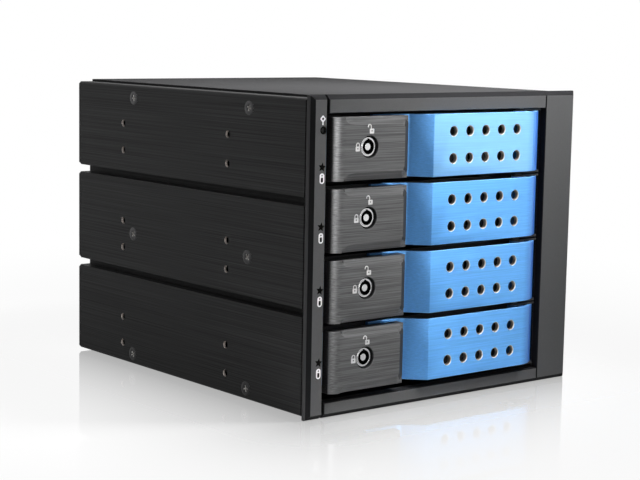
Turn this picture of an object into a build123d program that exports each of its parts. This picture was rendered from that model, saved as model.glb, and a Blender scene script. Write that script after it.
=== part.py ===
from build123d import *
from math import atan2, cos, pi, radians, sin, tan
import os

# Four bay hot swap drive cage that fills three 5.25 inch bays. Millimetres.
# X runs to the right seen from the front, Y runs to the back and Z up.
# The origin is the middle of the bottom plate's underside.

# 3.5 inch drive that each tray carries
drive_width = 101.6
drive_height = 26.1
drive_length = 147.0
drive_side_gap = 0.15
drive_hole_radius = 1.8
drive_hole_spacing_x = 95.25
drive_hole_spacing_y = 44.45
drive_hole_from_rear = 41.28

# rows of trays
row_count = 4
row_gap = 1.9
row_pitch = drive_height + row_gap

# bezel, whose opening leaves room beside the drive for its tray and the guide rails
opening_side_margin = 10.0
left_column_width = 7.6
right_column_width = 18.8
top_bar_height = 7.3
bottom_bar_height = 6.45
gap_below_rows = 2.8
gap_above_rows = 0.75
opening_width = drive_width + 2 * opening_side_margin
bezel_width = left_column_width + opening_width + right_column_width
rows_height = gap_below_rows + row_count * row_pitch - row_gap + gap_above_rows
bezel_height = bottom_bar_height + rows_height + top_bar_height
bezel_thickness = 3.2
bezel_chamfer = 1.9
bezel_edge_break = 0.35
left_column_gap = 1.05
right_column_gap = 0.15
front_frame_thickness = 1.6
front_frame_inset = 0.7
frame_opening_margin = 0.2

# chassis shell
bezel_side_lip = 0.7
bezel_top_lip = 0.4
shell_beyond_drive = 23.0
chassis_width = bezel_width - 2 * bezel_side_lip
chassis_depth = drive_length + shell_beyond_drive
chassis_height = bezel_height - bezel_top_lip
plate_thickness = 1.0
sheet_thickness = 1.0
bend_radius = 1.3
flange_width = 15.0
cover_corner_radius = 3.0
rear_panel_thickness = 1.5
rear_seam = 0.2

# grooves along each side that clear the rails of the host case
groove_depth = 5.8
groove_height = 3.5
lower_groove_centre = 42.3
bay_pitch = 43.7

# threaded side holes, two rows of two in each 5.25 inch bay
bay_hole_radius = 1.5
bay_hole_from_front = 52.3
bay_hole_spacing_y = 79.24
bay_hole_spacing_z = 11.93
lowest_bay_hole = 9.6
bay_count = 3

# small rounds that repeat have this many flat sides, so that the whole cage stays light
small_round_sides = 12

# countersunk screws through the side panels
side_screw_radius = 1.5
side_screw_head_radius = 3.0
side_screw_length = 5.0
side_screw_from_front = (38.0, 123.4)
side_screw_from_edge = (5.6, 6.6)
middle_screw_below_middle = 3.5
screw_clearance = 0.1
spacer_width = 6.4

# indicator strip in the left column, a star and a drive window beside each row
indicator_offset = 5.5
reset_from_top = 13.6
star_below_row = (6.7, 1.9, -1.2, -0.6)
drive_window_below_star = 4.4
star_radius = 1.25
star_inner_radius = 0.5
star_points = 5
drive_window_width = 2.0
drive_window_height = 3.8
drive_window_corner = 0.5
reset_hole_radius = 1.3
reset_travel = 0.3
reset_recess = 0.6
reset_collar_thickness = 0.4
reset_collar_radius = 1.8
led_pocket_depth = 2.0
led_pocket_width = 4.6
led_pocket_end = 6.0
led_board_thickness = 0.8
led_board_gap = 0.1

# tray
tray_sheet = 1.0
tray_below_centre = row_pitch / 2 - 0.45
tray_wall_height = 15.0
tray_side_gap = 0.5
tray_rear_gap = 6.5
tray_vent_length = 44.0
tray_vent_width = 6.0
tray_vent_columns = 4
tray_vent_rows = 2

# tray front with the hinge ears
tray_front_thickness = 1.2
tray_front_gap = 0.5
tray_front_drive_gap = 0.8
ear_thickness = 0.7
ear_gap = 0.15
ear_side_margin = 3.4
ear_corner = 2.4
pin_clearance = 0.02
pocket_clearance = 0.7
front_vent_width = 3.2
front_vent_height = 15.0
front_vent_pitch = 7.2
front_vent_count = 4
front_vent_margin = 8.0
latch_window_half_height = row_pitch / 2 - 4.2

# handle, a bent aluminium extrusion
handle_height = row_pitch - 2.5
handle_proud = 2.5
handle_wall = 1.8
handle_recess = 8.6
handle_slope_run = 8.8
handle_slope_radius = 6.0
handle_end_radius = 14.6
handle_end_angle = 47.0
handle_notch_depth = 2.2
hinge_depth = 6.4
hinge_barrel_radius = 3.0
hinge_pin_radius = 1.5
hinge_clearance = 0.05
handle_hole_radius = 2.0
handle_hole_columns = 5
handle_hole_spacing_z = 11.1
first_hole_from_edge = 10.9
last_hole_from_curve = 6.78

# latch button
button_height = row_pitch - 3.0
button_depth = 5.8
button_end_radius = 9.0
button_end_angle = 40.0
button_bevel_depth = 1.5
button_bevel_side = 2.9
button_bevel_height = 3.2
button_flare_start = 3.8
button_flare_run = 6.2
button_corner = 1.4
button_stem_from_left = 5.25
button_stem_width = 2.5
button_stem_half_height = 3.0
button_wedge_start = 10.2
button_wedge_length = 3.4

# latch hook
hook_thickness = 1.6
hook_gap = 0.4
hook_half_height = 5.6
hook_nose = 2.0
hook_wedge_gap = 0.2
hook_bar = 3.4
hook_wall_gap = 0.4
stem_gap = 0.4

# lock
lock_above_centre = 0.6
lock_radius = 4.4
lock_clearance = 0.1
lock_recess = 0.8
lock_keyway_outer = 3.0
lock_keyway_inner = 1.5
lock_keyway_depth = 2.2
lock_notch_width = 1.2
lock_tail_radius = 2.0
lock_bore_clearance = 0.45
cam_thickness = 1.4
cam_gap = 0.4
cam_length = 8.2
cam_width = 5.0
lock_tail_end = 0.6

# guide walls and the rails on them
guide_wall_thickness = 1.5
guide_rail_length = 5.0
guide_rail_height = 2.0
guide_clearance = 0.3
guide_lead_in = 1.6
guide_front_gap = 13.0
guide_rear_gap = 9.0
guide_slot_length = 90.0
guide_slot_height = 7.0
strike_slot_height = 12.0
strike_slot_depth = 4.0

# backplane and its connectors
backplane_thickness = 1.6
backplane_from_rear = 7.5
backplane_side_gap = 0.5
backplane_end_gap = 0.5
vent_slot_half_width = 25.0
vent_slot_height = 9.0
drive_socket_length = 42.0
drive_socket_height = 6.0
drive_socket_depth = 5.2
drive_socket_offset = -20.0
drive_socket_above_floor = 1.2
data_port_width = 16.4
data_port_height = 6.4
data_port_depth = 9.0
data_port_from_side = 35.3
port_wall = 1.1
port_tongue = 1.2
power_port_width = 10.6
power_port_height = 23.6
power_port_depth = 11.0
power_port_from_side = 15.3
power_port_spacing = 52.0
power_pin_width = 1.8
power_pin_pitch = 5.08
power_pin_count = 4
cutout_gap = 0.6
board_screw_radius = 1.5
board_screw_head_radius = 2.8
board_screw_head = 1.6
board_screw_length = 8.0
board_screw_inset = 6.0
board_screw_edge = 3.2
board_post_width = 6.0
buzzer_radius = 4.5
buzzer_height = 3.6
buzzer_from_side = 49.3
buzzer_below_top = 15.0

# fan
fan_size = 80.0
fan_depth = 25.0
fan_x = 24.0
fan_bore_radius = 38.0
fan_corner = 4.0
fan_hole_spacing = 71.5
fan_hole_radius = 2.2
fan_hub_radius = 18.0
fan_hub_wall = 3.0
fan_hub_length = 18.0
fan_hub_front_gap = 2.0
fan_blade_gap = 1.2
fan_blade_count = 7
fan_blade_thickness = 1.2
fan_blade_lean = 13.0
fan_blade_bend = 2.0
fan_blade_sunk = 0.5
fan_cup_radius = 16.0
fan_cup_thickness = 3.0
fan_strut_width = 4.0
fan_shaft_radius = 1.5
fan_screw_radius = 2.0
fan_screw_head_radius = 3.8
fan_screw_head = 2.2
fan_screw_length = 8.0

# places worked out from the sizes above
front_y = -chassis_depth / 2
rear_y = chassis_depth / 2
bezel_front = front_y - bezel_thickness
handle_front = bezel_front - handle_proud
panel_start = front_y + front_frame_thickness
panel_end = rear_y - rear_panel_thickness - rear_seam
side_x = chassis_width / 2
panel_bottom = plate_thickness
panel_top = chassis_height - plate_thickness
guide_outer = side_x - groove_depth - sheet_thickness
opening_left = -bezel_width / 2 + left_column_width
opening_right = bezel_width / 2 - right_column_width
bay_left = -guide_outer + guide_wall_thickness
bay_right = opening_right - frame_opening_margin
bay_centre = (bay_left + bay_right) / 2
runner_left = bay_left + tray_side_gap
runner_right = bay_right - tray_side_gap
handle_left_x = opening_left + 3.4
handle_notch_x = opening_left + 28.4
handle_edge_x = opening_left + 54.0
handle_curve_x = opening_right - 13.2
hinge_x = opening_right - 11.7
handle_hole_first_x = handle_edge_x + first_hole_from_edge
handle_hole_last_x = handle_curve_x - last_hole_from_curve
handle_hole_pitch = (handle_hole_last_x - handle_hole_first_x) / (handle_hole_columns - 1)
button_left_x = opening_left + 2.4
button_right_x = opening_left + 41.1
button_flare_x = button_left_x + button_flare_start
button_stem_x = button_left_x + button_stem_from_left
lock_x = opening_left + 19.8
recess_back = handle_recess + handle_wall
tray_front_y = handle_front + recess_back + tray_front_gap
tail_reach = (
    (handle_curve_x + handle_end_radius * sin(radians(handle_end_angle)) - hinge_x) ** 2
    + (handle_end_radius * (1 - cos(radians(handle_end_angle))) - hinge_depth) ** 2
) ** 0.5
pocket_y = handle_front + hinge_depth + tail_reach + pocket_clearance
pocket_x = hinge_x - hinge_barrel_radius - tail_reach
drive_front_y = pocket_y + tray_front_thickness + tray_front_drive_gap
backplane_y = rear_y - backplane_from_rear
backplane_back = backplane_y + backplane_thickness
data_port_x = -side_x + data_port_from_side
power_port_x = -side_x + power_port_from_side
power_port_heights = [chassis_height / 2 + power_port_spacing * share for share in (-0.5, 0.5)]
buzzer_x = -side_x + buzzer_from_side
buzzer_z = chassis_height - buzzer_below_top
fan_z = chassis_height / 2
side_screw_heights = (
    side_screw_from_edge[0],
    chassis_height / 2 - middle_screw_below_middle,
    chassis_height - side_screw_from_edge[1],
)
reset_height = bezel_height - reset_from_top
lowest_row_centre = bottom_bar_height + gap_below_rows + drive_height / 2
row_centres = [lowest_row_centre + row_pitch * row for row in range(row_count)]


def cuboid(x, y, z):
    """A box from its lowest and highest values along each axis."""
    size = (x[1] - x[0], y[1] - y[0], z[1] - z[0])
    middle = ((x[0] + x[1]) / 2, (y[0] + y[1]) / 2, (z[0] + z[1]) / 2)
    return Pos(*middle) * Box(*size)


def rod(radius, x, y, z):
    """A cylinder along Y from y[0] to y[1] about the point x, z."""
    return Pos(x, (y[0] + y[1]) / 2, z) * Rot(90, 0, 0) * Cylinder(radius, y[1] - y[0])


def cross_rod(radius, x, y, z):
    """A cylinder along X from x[0] to x[1] about the point y, z."""
    return Pos((x[0] + x[1]) / 2, y, z) * Rot(0, 90, 0) * Cylinder(radius, x[1] - x[0])


def along_y(profile, y):
    """A profile drawn in X and Z, extruded from y[0] to y[1]."""
    plane = Plane(origin=(0, y[1], 0), x_dir=(1, 0, 0), z_dir=(0, -1, 0))
    return extrude(plane * profile, y[1] - y[0])


def rectangle(x, z):
    """A rectangle between two pairs of values."""
    return Pos((x[0] + x[1]) / 2, (z[0] + z[1]) / 2) * Rectangle(x[1] - x[0], z[1] - z[0])


def small_round(radius):
    """Outline of a small round, with flat sides and its corners on the radius."""
    return RegularPolygon(radius, small_round_sides)


def clear_of(radius):
    """Corner radius of a small round whose flat sides clear a true round of this radius."""
    return radius / cos(pi / small_round_sides)


def small_rod(radius, x, y, z):
    """A small round along Y from y[0] to y[1] about the point x, z."""
    return along_y(Pos(x, z) * small_round(radius), y)


def mirrored(shape):
    """The same shape on the other side of the middle plane."""
    return mirror(shape, Plane.YZ)


def groove_centres():
    """Heights of the grooves, one above each bay but the top one."""
    return [lower_groove_centre + bay_pitch * bay for bay in range(bay_count - 1)]


def side_outline(reach):
    """The left half of the body's section, with its grooves, out to x = reach."""
    outline = rectangle((-side_x, reach), (panel_bottom, panel_top))
    for z in groove_centres():
        half = groove_height / 2
        outline -= rectangle((-side_x, -side_x + groove_depth), (z - half, z + half))
    return outline


def screw_places():
    """Depth and height of each countersunk side screw."""
    return [(front_y + y, z) for y in side_screw_from_front for z in side_screw_heights]


def bay_hole_places():
    """Depth and height of each threaded side hole."""
    depths = [front_y + bay_hole_from_front + bay_hole_spacing_y * n for n in (0, 1)]
    heights = [
        lowest_bay_hole + bay_pitch * bay + bay_hole_spacing_z * n
        for bay in range(bay_count)
        for n in (0, 1)
    ]
    return [(y, z) for y in depths for z in heights]


def side_screw(y, z, clearance=0.0):
    """A flat head screw in the left side, its head flush with the panel."""
    cone_depth = side_screw_head_radius - side_screw_radius
    shank = small_round(side_screw_radius + clearance)
    head = loft(
        [small_round(side_screw_head_radius + clearance), Pos(0, 0, cone_depth) * shank], ruled=True
    )
    screw = head + extrude(shank, side_screw_length + clearance)
    return Pos(-side_x, y, z) * Rot(0, 90, 0) * screw


def side_panel():
    """The left side, one folded sheet with a groove between each pair of bays."""
    outer = side_outline(-side_x + 2 * flange_width)
    low_and_high = outer.vertices().group_by(Axis.X)[0].sort_by(Axis.Y)
    outer = fillet([low_and_high[0], low_and_high[-1]], bend_radius)
    sheet = outer - offset(outer, -sheet_thickness, kind=Kind.INTERSECTION)
    sheet &= rectangle((-side_x, -side_x + flange_width), (panel_bottom, panel_top))
    panel = along_y(sheet, (panel_start, panel_end))
    for y, z in bay_hole_places():
        panel -= cross_rod(bay_hole_radius, (-side_x - 1, -side_x + 2 * sheet_thickness), y, z)
    for y, z in screw_places():
        panel -= side_screw(y, z, screw_clearance)
    return panel


def flat_plate(z):
    """Bottom plate or top cover, inset as deep as the grooves, with round rear corners."""
    half = side_x - groove_depth
    plate = cuboid((-half, half), (front_y, rear_y), z)
    rear_corners = plate.edges().filter_by(Axis.Z).group_by(Axis.Y)[-1]
    return fillet(rear_corners, cover_corner_radius)


def front_frame():
    """Flat steel frame behind the bezel that the shell and the bezel are fixed to."""
    half = side_x - front_frame_inset
    frame = cuboid((-half, half), (front_y, panel_start), (panel_bottom, panel_top))
    opening = cuboid(
        (opening_left + frame_opening_margin, opening_right - frame_opening_margin),
        (front_y, panel_start),
        (bottom_bar_height + frame_opening_margin, bezel_height - top_bar_height - frame_opening_margin),
    )
    return frame - opening


def bezel_blank():
    """The whole bezel as one slab with its outer front edges chamfered."""
    half = bezel_width / 2
    slab = cuboid((-half, half), (bezel_front, front_y), (0, bezel_height))
    return chamfer(slab.faces().sort_by(Axis.Y)[0].edges(), bezel_chamfer)


def bezel_piece(x, z, broken):
    """One bar or column of the bezel. The named sides get a narrow edge break."""
    piece = bezel_blank() & cuboid(x, (bezel_front - 1, front_y), z)
    edges = piece.faces().sort_by(Axis.Y)[0].edges()
    picks = {
        "left": edges.sort_by(Axis.X)[0],
        "right": edges.sort_by(Axis.X)[-1],
        "bottom": edges.sort_by(Axis.Z)[0],
        "top": edges.sort_by(Axis.Z)[-1],
    }
    return chamfer([picks[side] for side in broken], bezel_edge_break)


def indicator_x():
    """Middle of the indicator strip."""
    return -bezel_width / 2 + indicator_offset


def star_outline():
    """Five pointed star about the origin."""
    points = []
    for n in range(2 * star_points):
        radius = star_inner_radius if n % 2 else star_radius
        angle = pi / 2 + pi * n / star_points
        points.append((radius * cos(angle), radius * sin(angle)))
    return make_face(Polyline(*points, close=True).edges())


def drive_window_outline():
    """Upright window with its corners cut, about the origin."""
    window = Rectangle(drive_window_width, drive_window_height)
    return chamfer(window.vertices(), drive_window_corner)


def indicator_windows():
    """Outlines of the windows: a star and a drive window for each row, from the top down."""
    windows = []
    for centre, below in zip(reversed(row_centres), star_below_row):
        windows.append(Pos(indicator_x(), centre - below) * star_outline())
        low = centre - below - drive_window_below_star
        windows.append(Pos(indicator_x(), low) * drive_window_outline())
    return windows


def led_pocket():
    """Space in the back of the left column for the indicator board, x and z."""
    half = led_pocket_width / 2
    x = (indicator_x() - half, indicator_x() + half - bezel_edge_break)
    return x, (led_pocket_end, bezel_height - led_pocket_end)


def bezel_left_column():
    """Narrow column with the indicator windows and the reset hole."""
    x = (-bezel_width / 2, opening_left)
    column = bezel_piece(x, (0, bezel_height), ["right"])
    pocket_x_range, pocket_z_range = led_pocket()
    column -= cuboid(pocket_x_range, (front_y - led_pocket_depth, front_y), pocket_z_range)
    for window in indicator_windows():
        column -= along_y(window, (bezel_front, front_y))
    return column - small_rod(reset_hole_radius, indicator_x(), (bezel_front, front_y), reset_height)


def bezel_right_column():
    """Wide column on the hinge side."""
    return bezel_piece((opening_right, bezel_width / 2), (0, bezel_height), ["left"])


def bar_x():
    """Ends of the top and bottom bars."""
    return opening_left + left_column_gap, opening_right - right_column_gap


def bezel_top_bar():
    """Bar above the trays."""
    z = (bezel_height - top_bar_height, bezel_height)
    return bezel_piece(bar_x(), z, ["left", "right", "bottom"])


def bezel_bottom_bar():
    """Bar below the trays."""
    return bezel_piece(bar_x(), (0, bottom_bar_height), ["left", "right", "top"])


def led_board_front():
    """Front face of the indicator board."""
    return front_y - led_board_gap - led_board_thickness


def led_board():
    """Thin indicator board in the left column's pocket."""
    x, z = led_pocket()
    x = (x[0] + led_board_gap, x[1] - led_board_gap)
    z = (z[0] + led_board_gap, z[1] - led_board_gap)
    return cuboid(x, (led_board_front(), front_y), z)


def led_lenses():
    """One clear lens for each window, from the board to the front face."""
    y = (bezel_front, led_board_front())
    return Compound([along_y(window, y) for window in indicator_windows()])


def reset_button():
    """Small sunken plunger with a collar that keeps it in its hole."""
    gap = screw_clearance + hinge_clearance
    stem_y = (bezel_front + reset_recess, led_board_front() - reset_travel - gap)
    stem = small_rod(reset_hole_radius - gap, indicator_x(), stem_y, reset_height)
    collar_y = front_y - led_pocket_depth + gap
    collar = (collar_y, collar_y + reset_collar_thickness)
    return stem + small_rod(reset_collar_radius, indicator_x(), collar, reset_height)


def rail_heights(centre):
    """Heights of the lower and the upper rail that hold one tray's runner."""
    runner_top = centre - tray_below_centre + tray_wall_height
    lower_top = runner_top - tray_sheet - guide_clearance
    upper_bottom = runner_top + guide_clearance
    return (lower_top - guide_rail_height, lower_top), (upper_bottom, upper_bottom + guide_rail_height)


def guide_rail(x, z, mouth):
    """One rail, with a ramp on its lowest (0) or highest (-1) edge at the front."""
    rail = cuboid(x, (front_y + guide_front_gap, backplane_y - guide_rear_gap), z)
    front_edges = rail.edges().filter_by(Axis.X).group_by(Axis.Y)[0]
    return chamfer(front_edges.sort_by(Axis.Z)[mouth], guide_lead_in)


def guide_rails():
    """Two rails on each wall for each tray."""
    rails = []
    for x in ((bay_left, bay_left + guide_rail_length), (bay_right - guide_rail_length, bay_right)):
        for centre in row_centres:
            lower, upper = rail_heights(centre)
            rails += [guide_rail(x, lower, -1), guide_rail(x, upper, 0)]
    return Compound(rails)


def guide_slots(x):
    """An air slot below each pair of rails."""
    middle = (front_y + backplane_y) / 2
    y = (middle - guide_slot_length / 2, middle + guide_slot_length / 2)
    slots = []
    for centre in row_centres:
        top = rail_heights(centre)[0][0] - guide_wall_thickness
        slots.append(cuboid(x, y, (top - guide_slot_height, top)))
    return slots


def guide_spacers():
    """Blocks between the guide walls and the side panels that take the side screws."""
    half = spacer_width / 2
    left, right = [], []
    for y, z in screw_places():
        block_y, block_z = (y - half, y + half), (z - half, z + half)
        hole = side_screw(y, z, screw_clearance)
        left.append(cuboid((-side_x + sheet_thickness, -guide_outer), block_y, block_z) - hole)
        inner = bay_right + guide_wall_thickness
        right.append(cuboid((inner, side_x - sheet_thickness), block_y, block_z) - mirrored(hole))
    return Compound(left + right)


def board_screw_places():
    """Where the backplane is screwed to the ends of the guide walls, x and z."""
    left = -guide_outer + board_screw_edge
    right = bay_right + guide_wall_thickness / 2
    heights = (panel_bottom + board_screw_inset, panel_top - board_screw_inset)
    return [(x, z) for x in (left, right) for z in heights]


def with_board_posts(wall, side):
    """The wall with blocks at its back that take the backplane screws."""
    y = (backplane_y - board_screw_length - 1, backplane_y)
    half = board_post_width / 2
    for x, z in board_screw_places():
        if x * side > 0:
            wall += cuboid((x - half, x + half), y, (z - half, z + half))
            wall -= small_rod(board_screw_radius + screw_clearance, x, y, z)
    return wall


def guide_wall_left():
    """Sheet wall flat against the groove bottoms, with slots for air and for the latches."""
    x = (-guide_outer, bay_left)
    z = (panel_bottom + sheet_thickness, panel_top - sheet_thickness)
    wall = cuboid(x, (panel_start, backplane_y), z)
    wall -= guide_slots(x)
    half = strike_slot_height / 2
    y = (tray_front_y - strike_slot_depth / 2, tray_front_y + strike_slot_depth / 2)
    for centre in row_centres:
        wall -= cuboid(x, y, (centre - half, centre + half))
    return with_board_posts(wall, -1)


def guide_wall_right():
    """Sheet wall on the right of the bays, which leaves a channel for wiring beside it."""
    x = (bay_right, bay_right + guide_wall_thickness)
    wall = cuboid(x, (panel_start, backplane_y), (panel_bottom, panel_top))
    wall -= guide_slots(x)
    return with_board_posts(wall, 1)


def tray(centre):
    """Folded tray: a vented floor, two drive walls and two runners."""
    low = centre - tray_below_centre
    high = low + tray_wall_height
    inner = drive_width / 2 + drive_side_gap
    outer = inner + tray_sheet
    section = rectangle((bay_centre - outer, bay_centre + outer), (low, high))
    section -= rectangle((bay_centre - inner, bay_centre + inner), (low + tray_sheet, high))
    section += rectangle((runner_left, bay_centre - inner), (high - tray_sheet, high))
    section += rectangle((bay_centre + inner, runner_right), (high - tray_sheet, high))
    body = along_y(section, (pocket_y + tray_front_thickness, backplane_y - tray_rear_gap))
    for x, y in tray_vent_places():
        body -= Pos(x, y, low) * Box(tray_vent_width, tray_vent_length, 3 * tray_sheet)
    for x, y in drive_hole_places():
        body -= Pos(x, y, low) * Cylinder(drive_hole_radius, 3 * tray_sheet)
    return body


def drive_hole_places():
    """The four holes in a tray's floor that a drive is screwed down through."""
    rear = drive_front_y + drive_length - drive_hole_from_rear
    return [
        (bay_centre + side * drive_hole_spacing_x / 2, rear - drive_hole_spacing_y * n)
        for side in (-1, 1)
        for n in (0, 1)
    ]


def tray_vent_places():
    """Middles of the air slots in a tray's floor."""
    step_x = drive_width / (tray_vent_columns + 1)
    start = pocket_y + tray_front_thickness
    step_y = (backplane_y - tray_rear_gap - start) / tray_vent_rows
    return [
        (bay_centre + step_x * (column - (tray_vent_columns - 1) / 2), start + step_y * (row + 0.5))
        for column in range(tray_vent_columns)
        for row in range(tray_vent_rows)
    ]


def tray_front(centre):
    """Front plate of a tray with a pocket for the handle's tail and two hinge ears."""
    thick = tray_front_thickness
    plate_y = (tray_front_y, tray_front_y + thick)
    back = pocket_y + thick
    low = centre - tray_below_centre
    z = (low, centre + handle_height / 2)
    front = cuboid((runner_left, pocket_x), plate_y, z)
    front += cuboid((pocket_x - thick, pocket_x), (tray_front_y, back), z)
    front += cuboid((pocket_x - thick, runner_right), (pocket_y, back), z)
    front += cuboid((runner_left, runner_left + thick), (tray_front_y, back), z)
    front += cuboid((runner_left, pocket_x), (tray_front_y, back), (low, low + tray_sheet))
    front += cuboid((runner_left, bay_centre - drive_width / 2), (back - thick, back), z)
    for side in (-1, 1):
        front += hinge_ear(centre, side, back)
    front -= latch_windows(centre)
    for n in range(front_vent_count):
        x = handle_edge_x + front_vent_margin + front_vent_pitch * n
        half = front_vent_height / 2
        front -= cuboid((x, x + front_vent_width), plate_y, (centre - half, centre + half))
    return front


def hinge_ear(centre, side, back):
    """Ear above (1) or below (-1) the handle, joined to the pocket, with the pin's hole."""
    inner = centre + side * (handle_height / 2 + ear_gap)
    outer = inner + side * ear_thickness
    z = sorted((inner, outer))
    pin_y = handle_front + hinge_depth
    ear = cuboid((hinge_x - ear_side_margin, runner_right), (pin_y - ear_side_margin, back), z)
    nose = ear.edges().filter_by(Axis.Z).group_by(Axis.Y)[0]
    ear = chamfer(nose, ear_corner)
    joint = sorted((centre + side * (handle_height / 2 - ear_thickness), outer))
    ear += cuboid((hinge_x - ear_side_margin, runner_right), (pocket_y, back), joint)
    hole = extrude(small_round(clear_of(hinge_pin_radius + pin_clearance)), 3 * ear_thickness, both=True)
    return ear - Pos(hinge_x, pin_y, inner) * hole


def latch_windows(centre):
    """Openings in a tray's front for the lock's cam and for the latch hook."""
    y = (tray_front_y, tray_front_y + tray_front_thickness)
    left = runner_left + tray_front_thickness + 0.3
    half = latch_window_half_height
    window = cuboid((left, lock_x + cam_length + 1.5), y, (centre - half, centre + half))
    hook_y = (tray_front_y, tray_front_y + hook_thickness + 2 * hook_gap)
    half = hook_half_height + hook_gap
    hook_x = (runner_left, runner_left + 2 * tray_front_thickness)
    return window + cuboid(hook_x, hook_y, (centre - half, centre + half))


def handle_profile():
    """Section of the handle seen from above, x across and depth behind its front face."""
    t = handle_wall
    foot_x = handle_edge_x - handle_slope_run
    slope = atan2(handle_recess, handle_slope_run)
    shift = t * tan(slope / 2)
    turn = radians(handle_end_angle)
    centre = (handle_curve_x, handle_end_radius)

    def on_arc(radius, angle):
        return centre[0] + radius * sin(angle), centre[1] - radius * cos(angle)

    inner = handle_end_radius - t
    reach = handle_slope_radius * tan(slope / 2)
    bend_start = (foot_x - reach, handle_recess)
    bend_end = (foot_x + reach * cos(slope), handle_recess - reach * sin(slope))
    outer_start = Line((handle_left_x, handle_recess), bend_start).edges()
    outer_start += TangentArc(bend_start, bend_end, tangent=(1, 0)).edges()
    outer_start += Polyline(bend_end, (handle_edge_x, 0), (handle_curve_x, 0)).edges()
    outer_arc = ThreePointArc(
        (handle_curve_x, 0), on_arc(handle_end_radius, turn / 2), on_arc(handle_end_radius, turn)
    )
    tip = Line(on_arc(handle_end_radius, turn), on_arc(inner, turn))
    inner_arc = ThreePointArc(on_arc(inner, turn), on_arc(inner, turn / 2), (handle_curve_x, t))
    inner_run = Polyline(
        (handle_curve_x, t),
        (handle_edge_x + shift, t),
        (foot_x + shift, recess_back),
        (handle_left_x, recess_back),
        (handle_left_x, handle_recess),
    )
    face = make_face(outer_start + outer_arc.edges() + tip.edges() + inner_arc.edges() + inner_run.edges())
    web = rectangle((hinge_x - hinge_pin_radius, hinge_x + hinge_pin_radius), (t / 2, hinge_depth))
    barrel = Pos(hinge_x, hinge_depth) * Circle(hinge_barrel_radius)
    bore = Pos(hinge_x, hinge_depth) * Circle(hinge_pin_radius + hinge_clearance)
    return face + web + barrel - bore


def handle(centre):
    """Swinging handle: a length of extrusion, drilled and notched for the latch."""
    z = (centre - handle_height / 2, centre + handle_height / 2)
    body = Pos(0, handle_front, z[0]) * extrude(handle_profile(), handle_height)
    for column in range(handle_hole_columns):
        for side in (-1, 1):
            x = handle_hole_first_x + handle_hole_pitch * column
            y = (handle_front, handle_front + handle_wall)
            body -= small_rod(handle_hole_radius, x, y, centre + side * handle_hole_spacing_z / 2)
    plate_y = (handle_front + handle_recess - 1, handle_front + recess_back + 1)
    notch_x = (handle_left_x - 1, handle_notch_x)
    body -= cuboid(notch_x, plate_y, (z[0] - 1, z[0] + handle_notch_depth))
    body -= cuboid(notch_x, plate_y, (z[1] - handle_notch_depth, z[1] + 1))
    bore = clear_of(lock_radius + lock_bore_clearance)
    body -= small_rod(bore, lock_x, plate_y, centre + lock_above_centre)
    half = button_stem_width / 2 + stem_gap
    tall = button_stem_half_height + stem_gap
    body -= cuboid((button_stem_x - half, button_stem_x + half), plate_y, (centre - tall, centre + tall))
    return body


def hinge_pin(centre):
    """Steel pin through the two ears and the handle's barrel."""
    half = handle_height / 2 + ear_gap + ear_thickness
    return Pos(hinge_x, handle_front + hinge_depth, centre) * Cylinder(hinge_pin_radius, 2 * half)


def button_section():
    """Section of the button seen from above, with its left end curving back."""
    turn = radians(button_end_angle)
    reach = button_end_radius * sin(turn)
    drop = button_end_radius * (1 - cos(turn))
    start = button_left_x + reach
    middle = (start - button_end_radius * sin(turn / 2), button_end_radius * (1 - cos(turn / 2)))
    arc = ThreePointArc((button_left_x, drop), middle, (start, 0))
    rest = Polyline(
        (start, 0),
        (button_right_x, 0),
        (button_right_x, button_depth),
        (button_left_x, button_depth),
        (button_left_x, drop),
    )
    return make_face(arc.edges() + rest.edges())


def button_face(centre, y, grow):
    """Outline of the raised face at one depth. It flares to full height at its left end."""
    tall = button_height / 2 + 0.6 + grow
    low = button_height / 2 - button_bevel_height + grow
    far = button_right_x - button_bevel_side + grow
    near = button_flare_x + button_flare_run
    left = button_left_x - button_bevel_height
    corner = button_corner + grow / 2
    right_side = [(near, low), (far - corner, low), (far, low - corner)]
    flare = [
        (near - button_flare_run * sin(turn), tall - (tall - low) * cos(turn))
        for turn in (radians(60), radians(30))
    ]
    upper = [(left, tall), (button_flare_x, tall)] + flare + right_side
    lower = [(x, -z) for x, z in reversed(upper)]
    plane = Plane(origin=(0, y, centre), x_dir=(1, 0, 0), z_dir=(0, -1, 0))
    return plane * make_face(Polyline(*upper, *lower, close=True).edges())


def latch_button(centre):
    """Thick push button with a bevelled face, a lock bore and a wedge stem."""
    z = (centre - button_height / 2, centre + button_height / 2)
    body = Pos(0, handle_front, z[0]) * extrude(button_section(), button_height)
    y0 = handle_front
    y1 = y0 + button_bevel_depth
    crown = loft([button_face(centre, y0, 0), button_face(centre, y1, button_bevel_height)], ruled=True)
    base = cuboid((button_left_x - 1, button_right_x + 1), (y1, y0 + button_depth), z)
    body = body & (crown + base)
    body -= rod(lock_radius + lock_clearance, lock_x, (y0 - 1, y0 + button_depth + 1), lock_axis(centre))
    return body + button_stem(y0, centre)


def button_stem(y0, centre):
    """Wedge that reaches through the handle and pushes the hook aside."""
    left = button_stem_x - button_stem_width / 2
    right = button_stem_x + button_stem_width / 2
    cut = min(button_wedge_length, button_stem_width - 0.4)
    outline = Polyline(
        (left, button_depth - 0.5),
        (right, button_depth - 0.5),
        (right, button_wedge_start),
        (right - cut, button_wedge_start + cut),
        (left, button_wedge_start + cut),
        close=True,
    )
    tall = 2 * button_stem_half_height
    return Pos(0, y0, centre - button_stem_half_height) * extrude(make_face(outline.edges()), tall)


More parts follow.
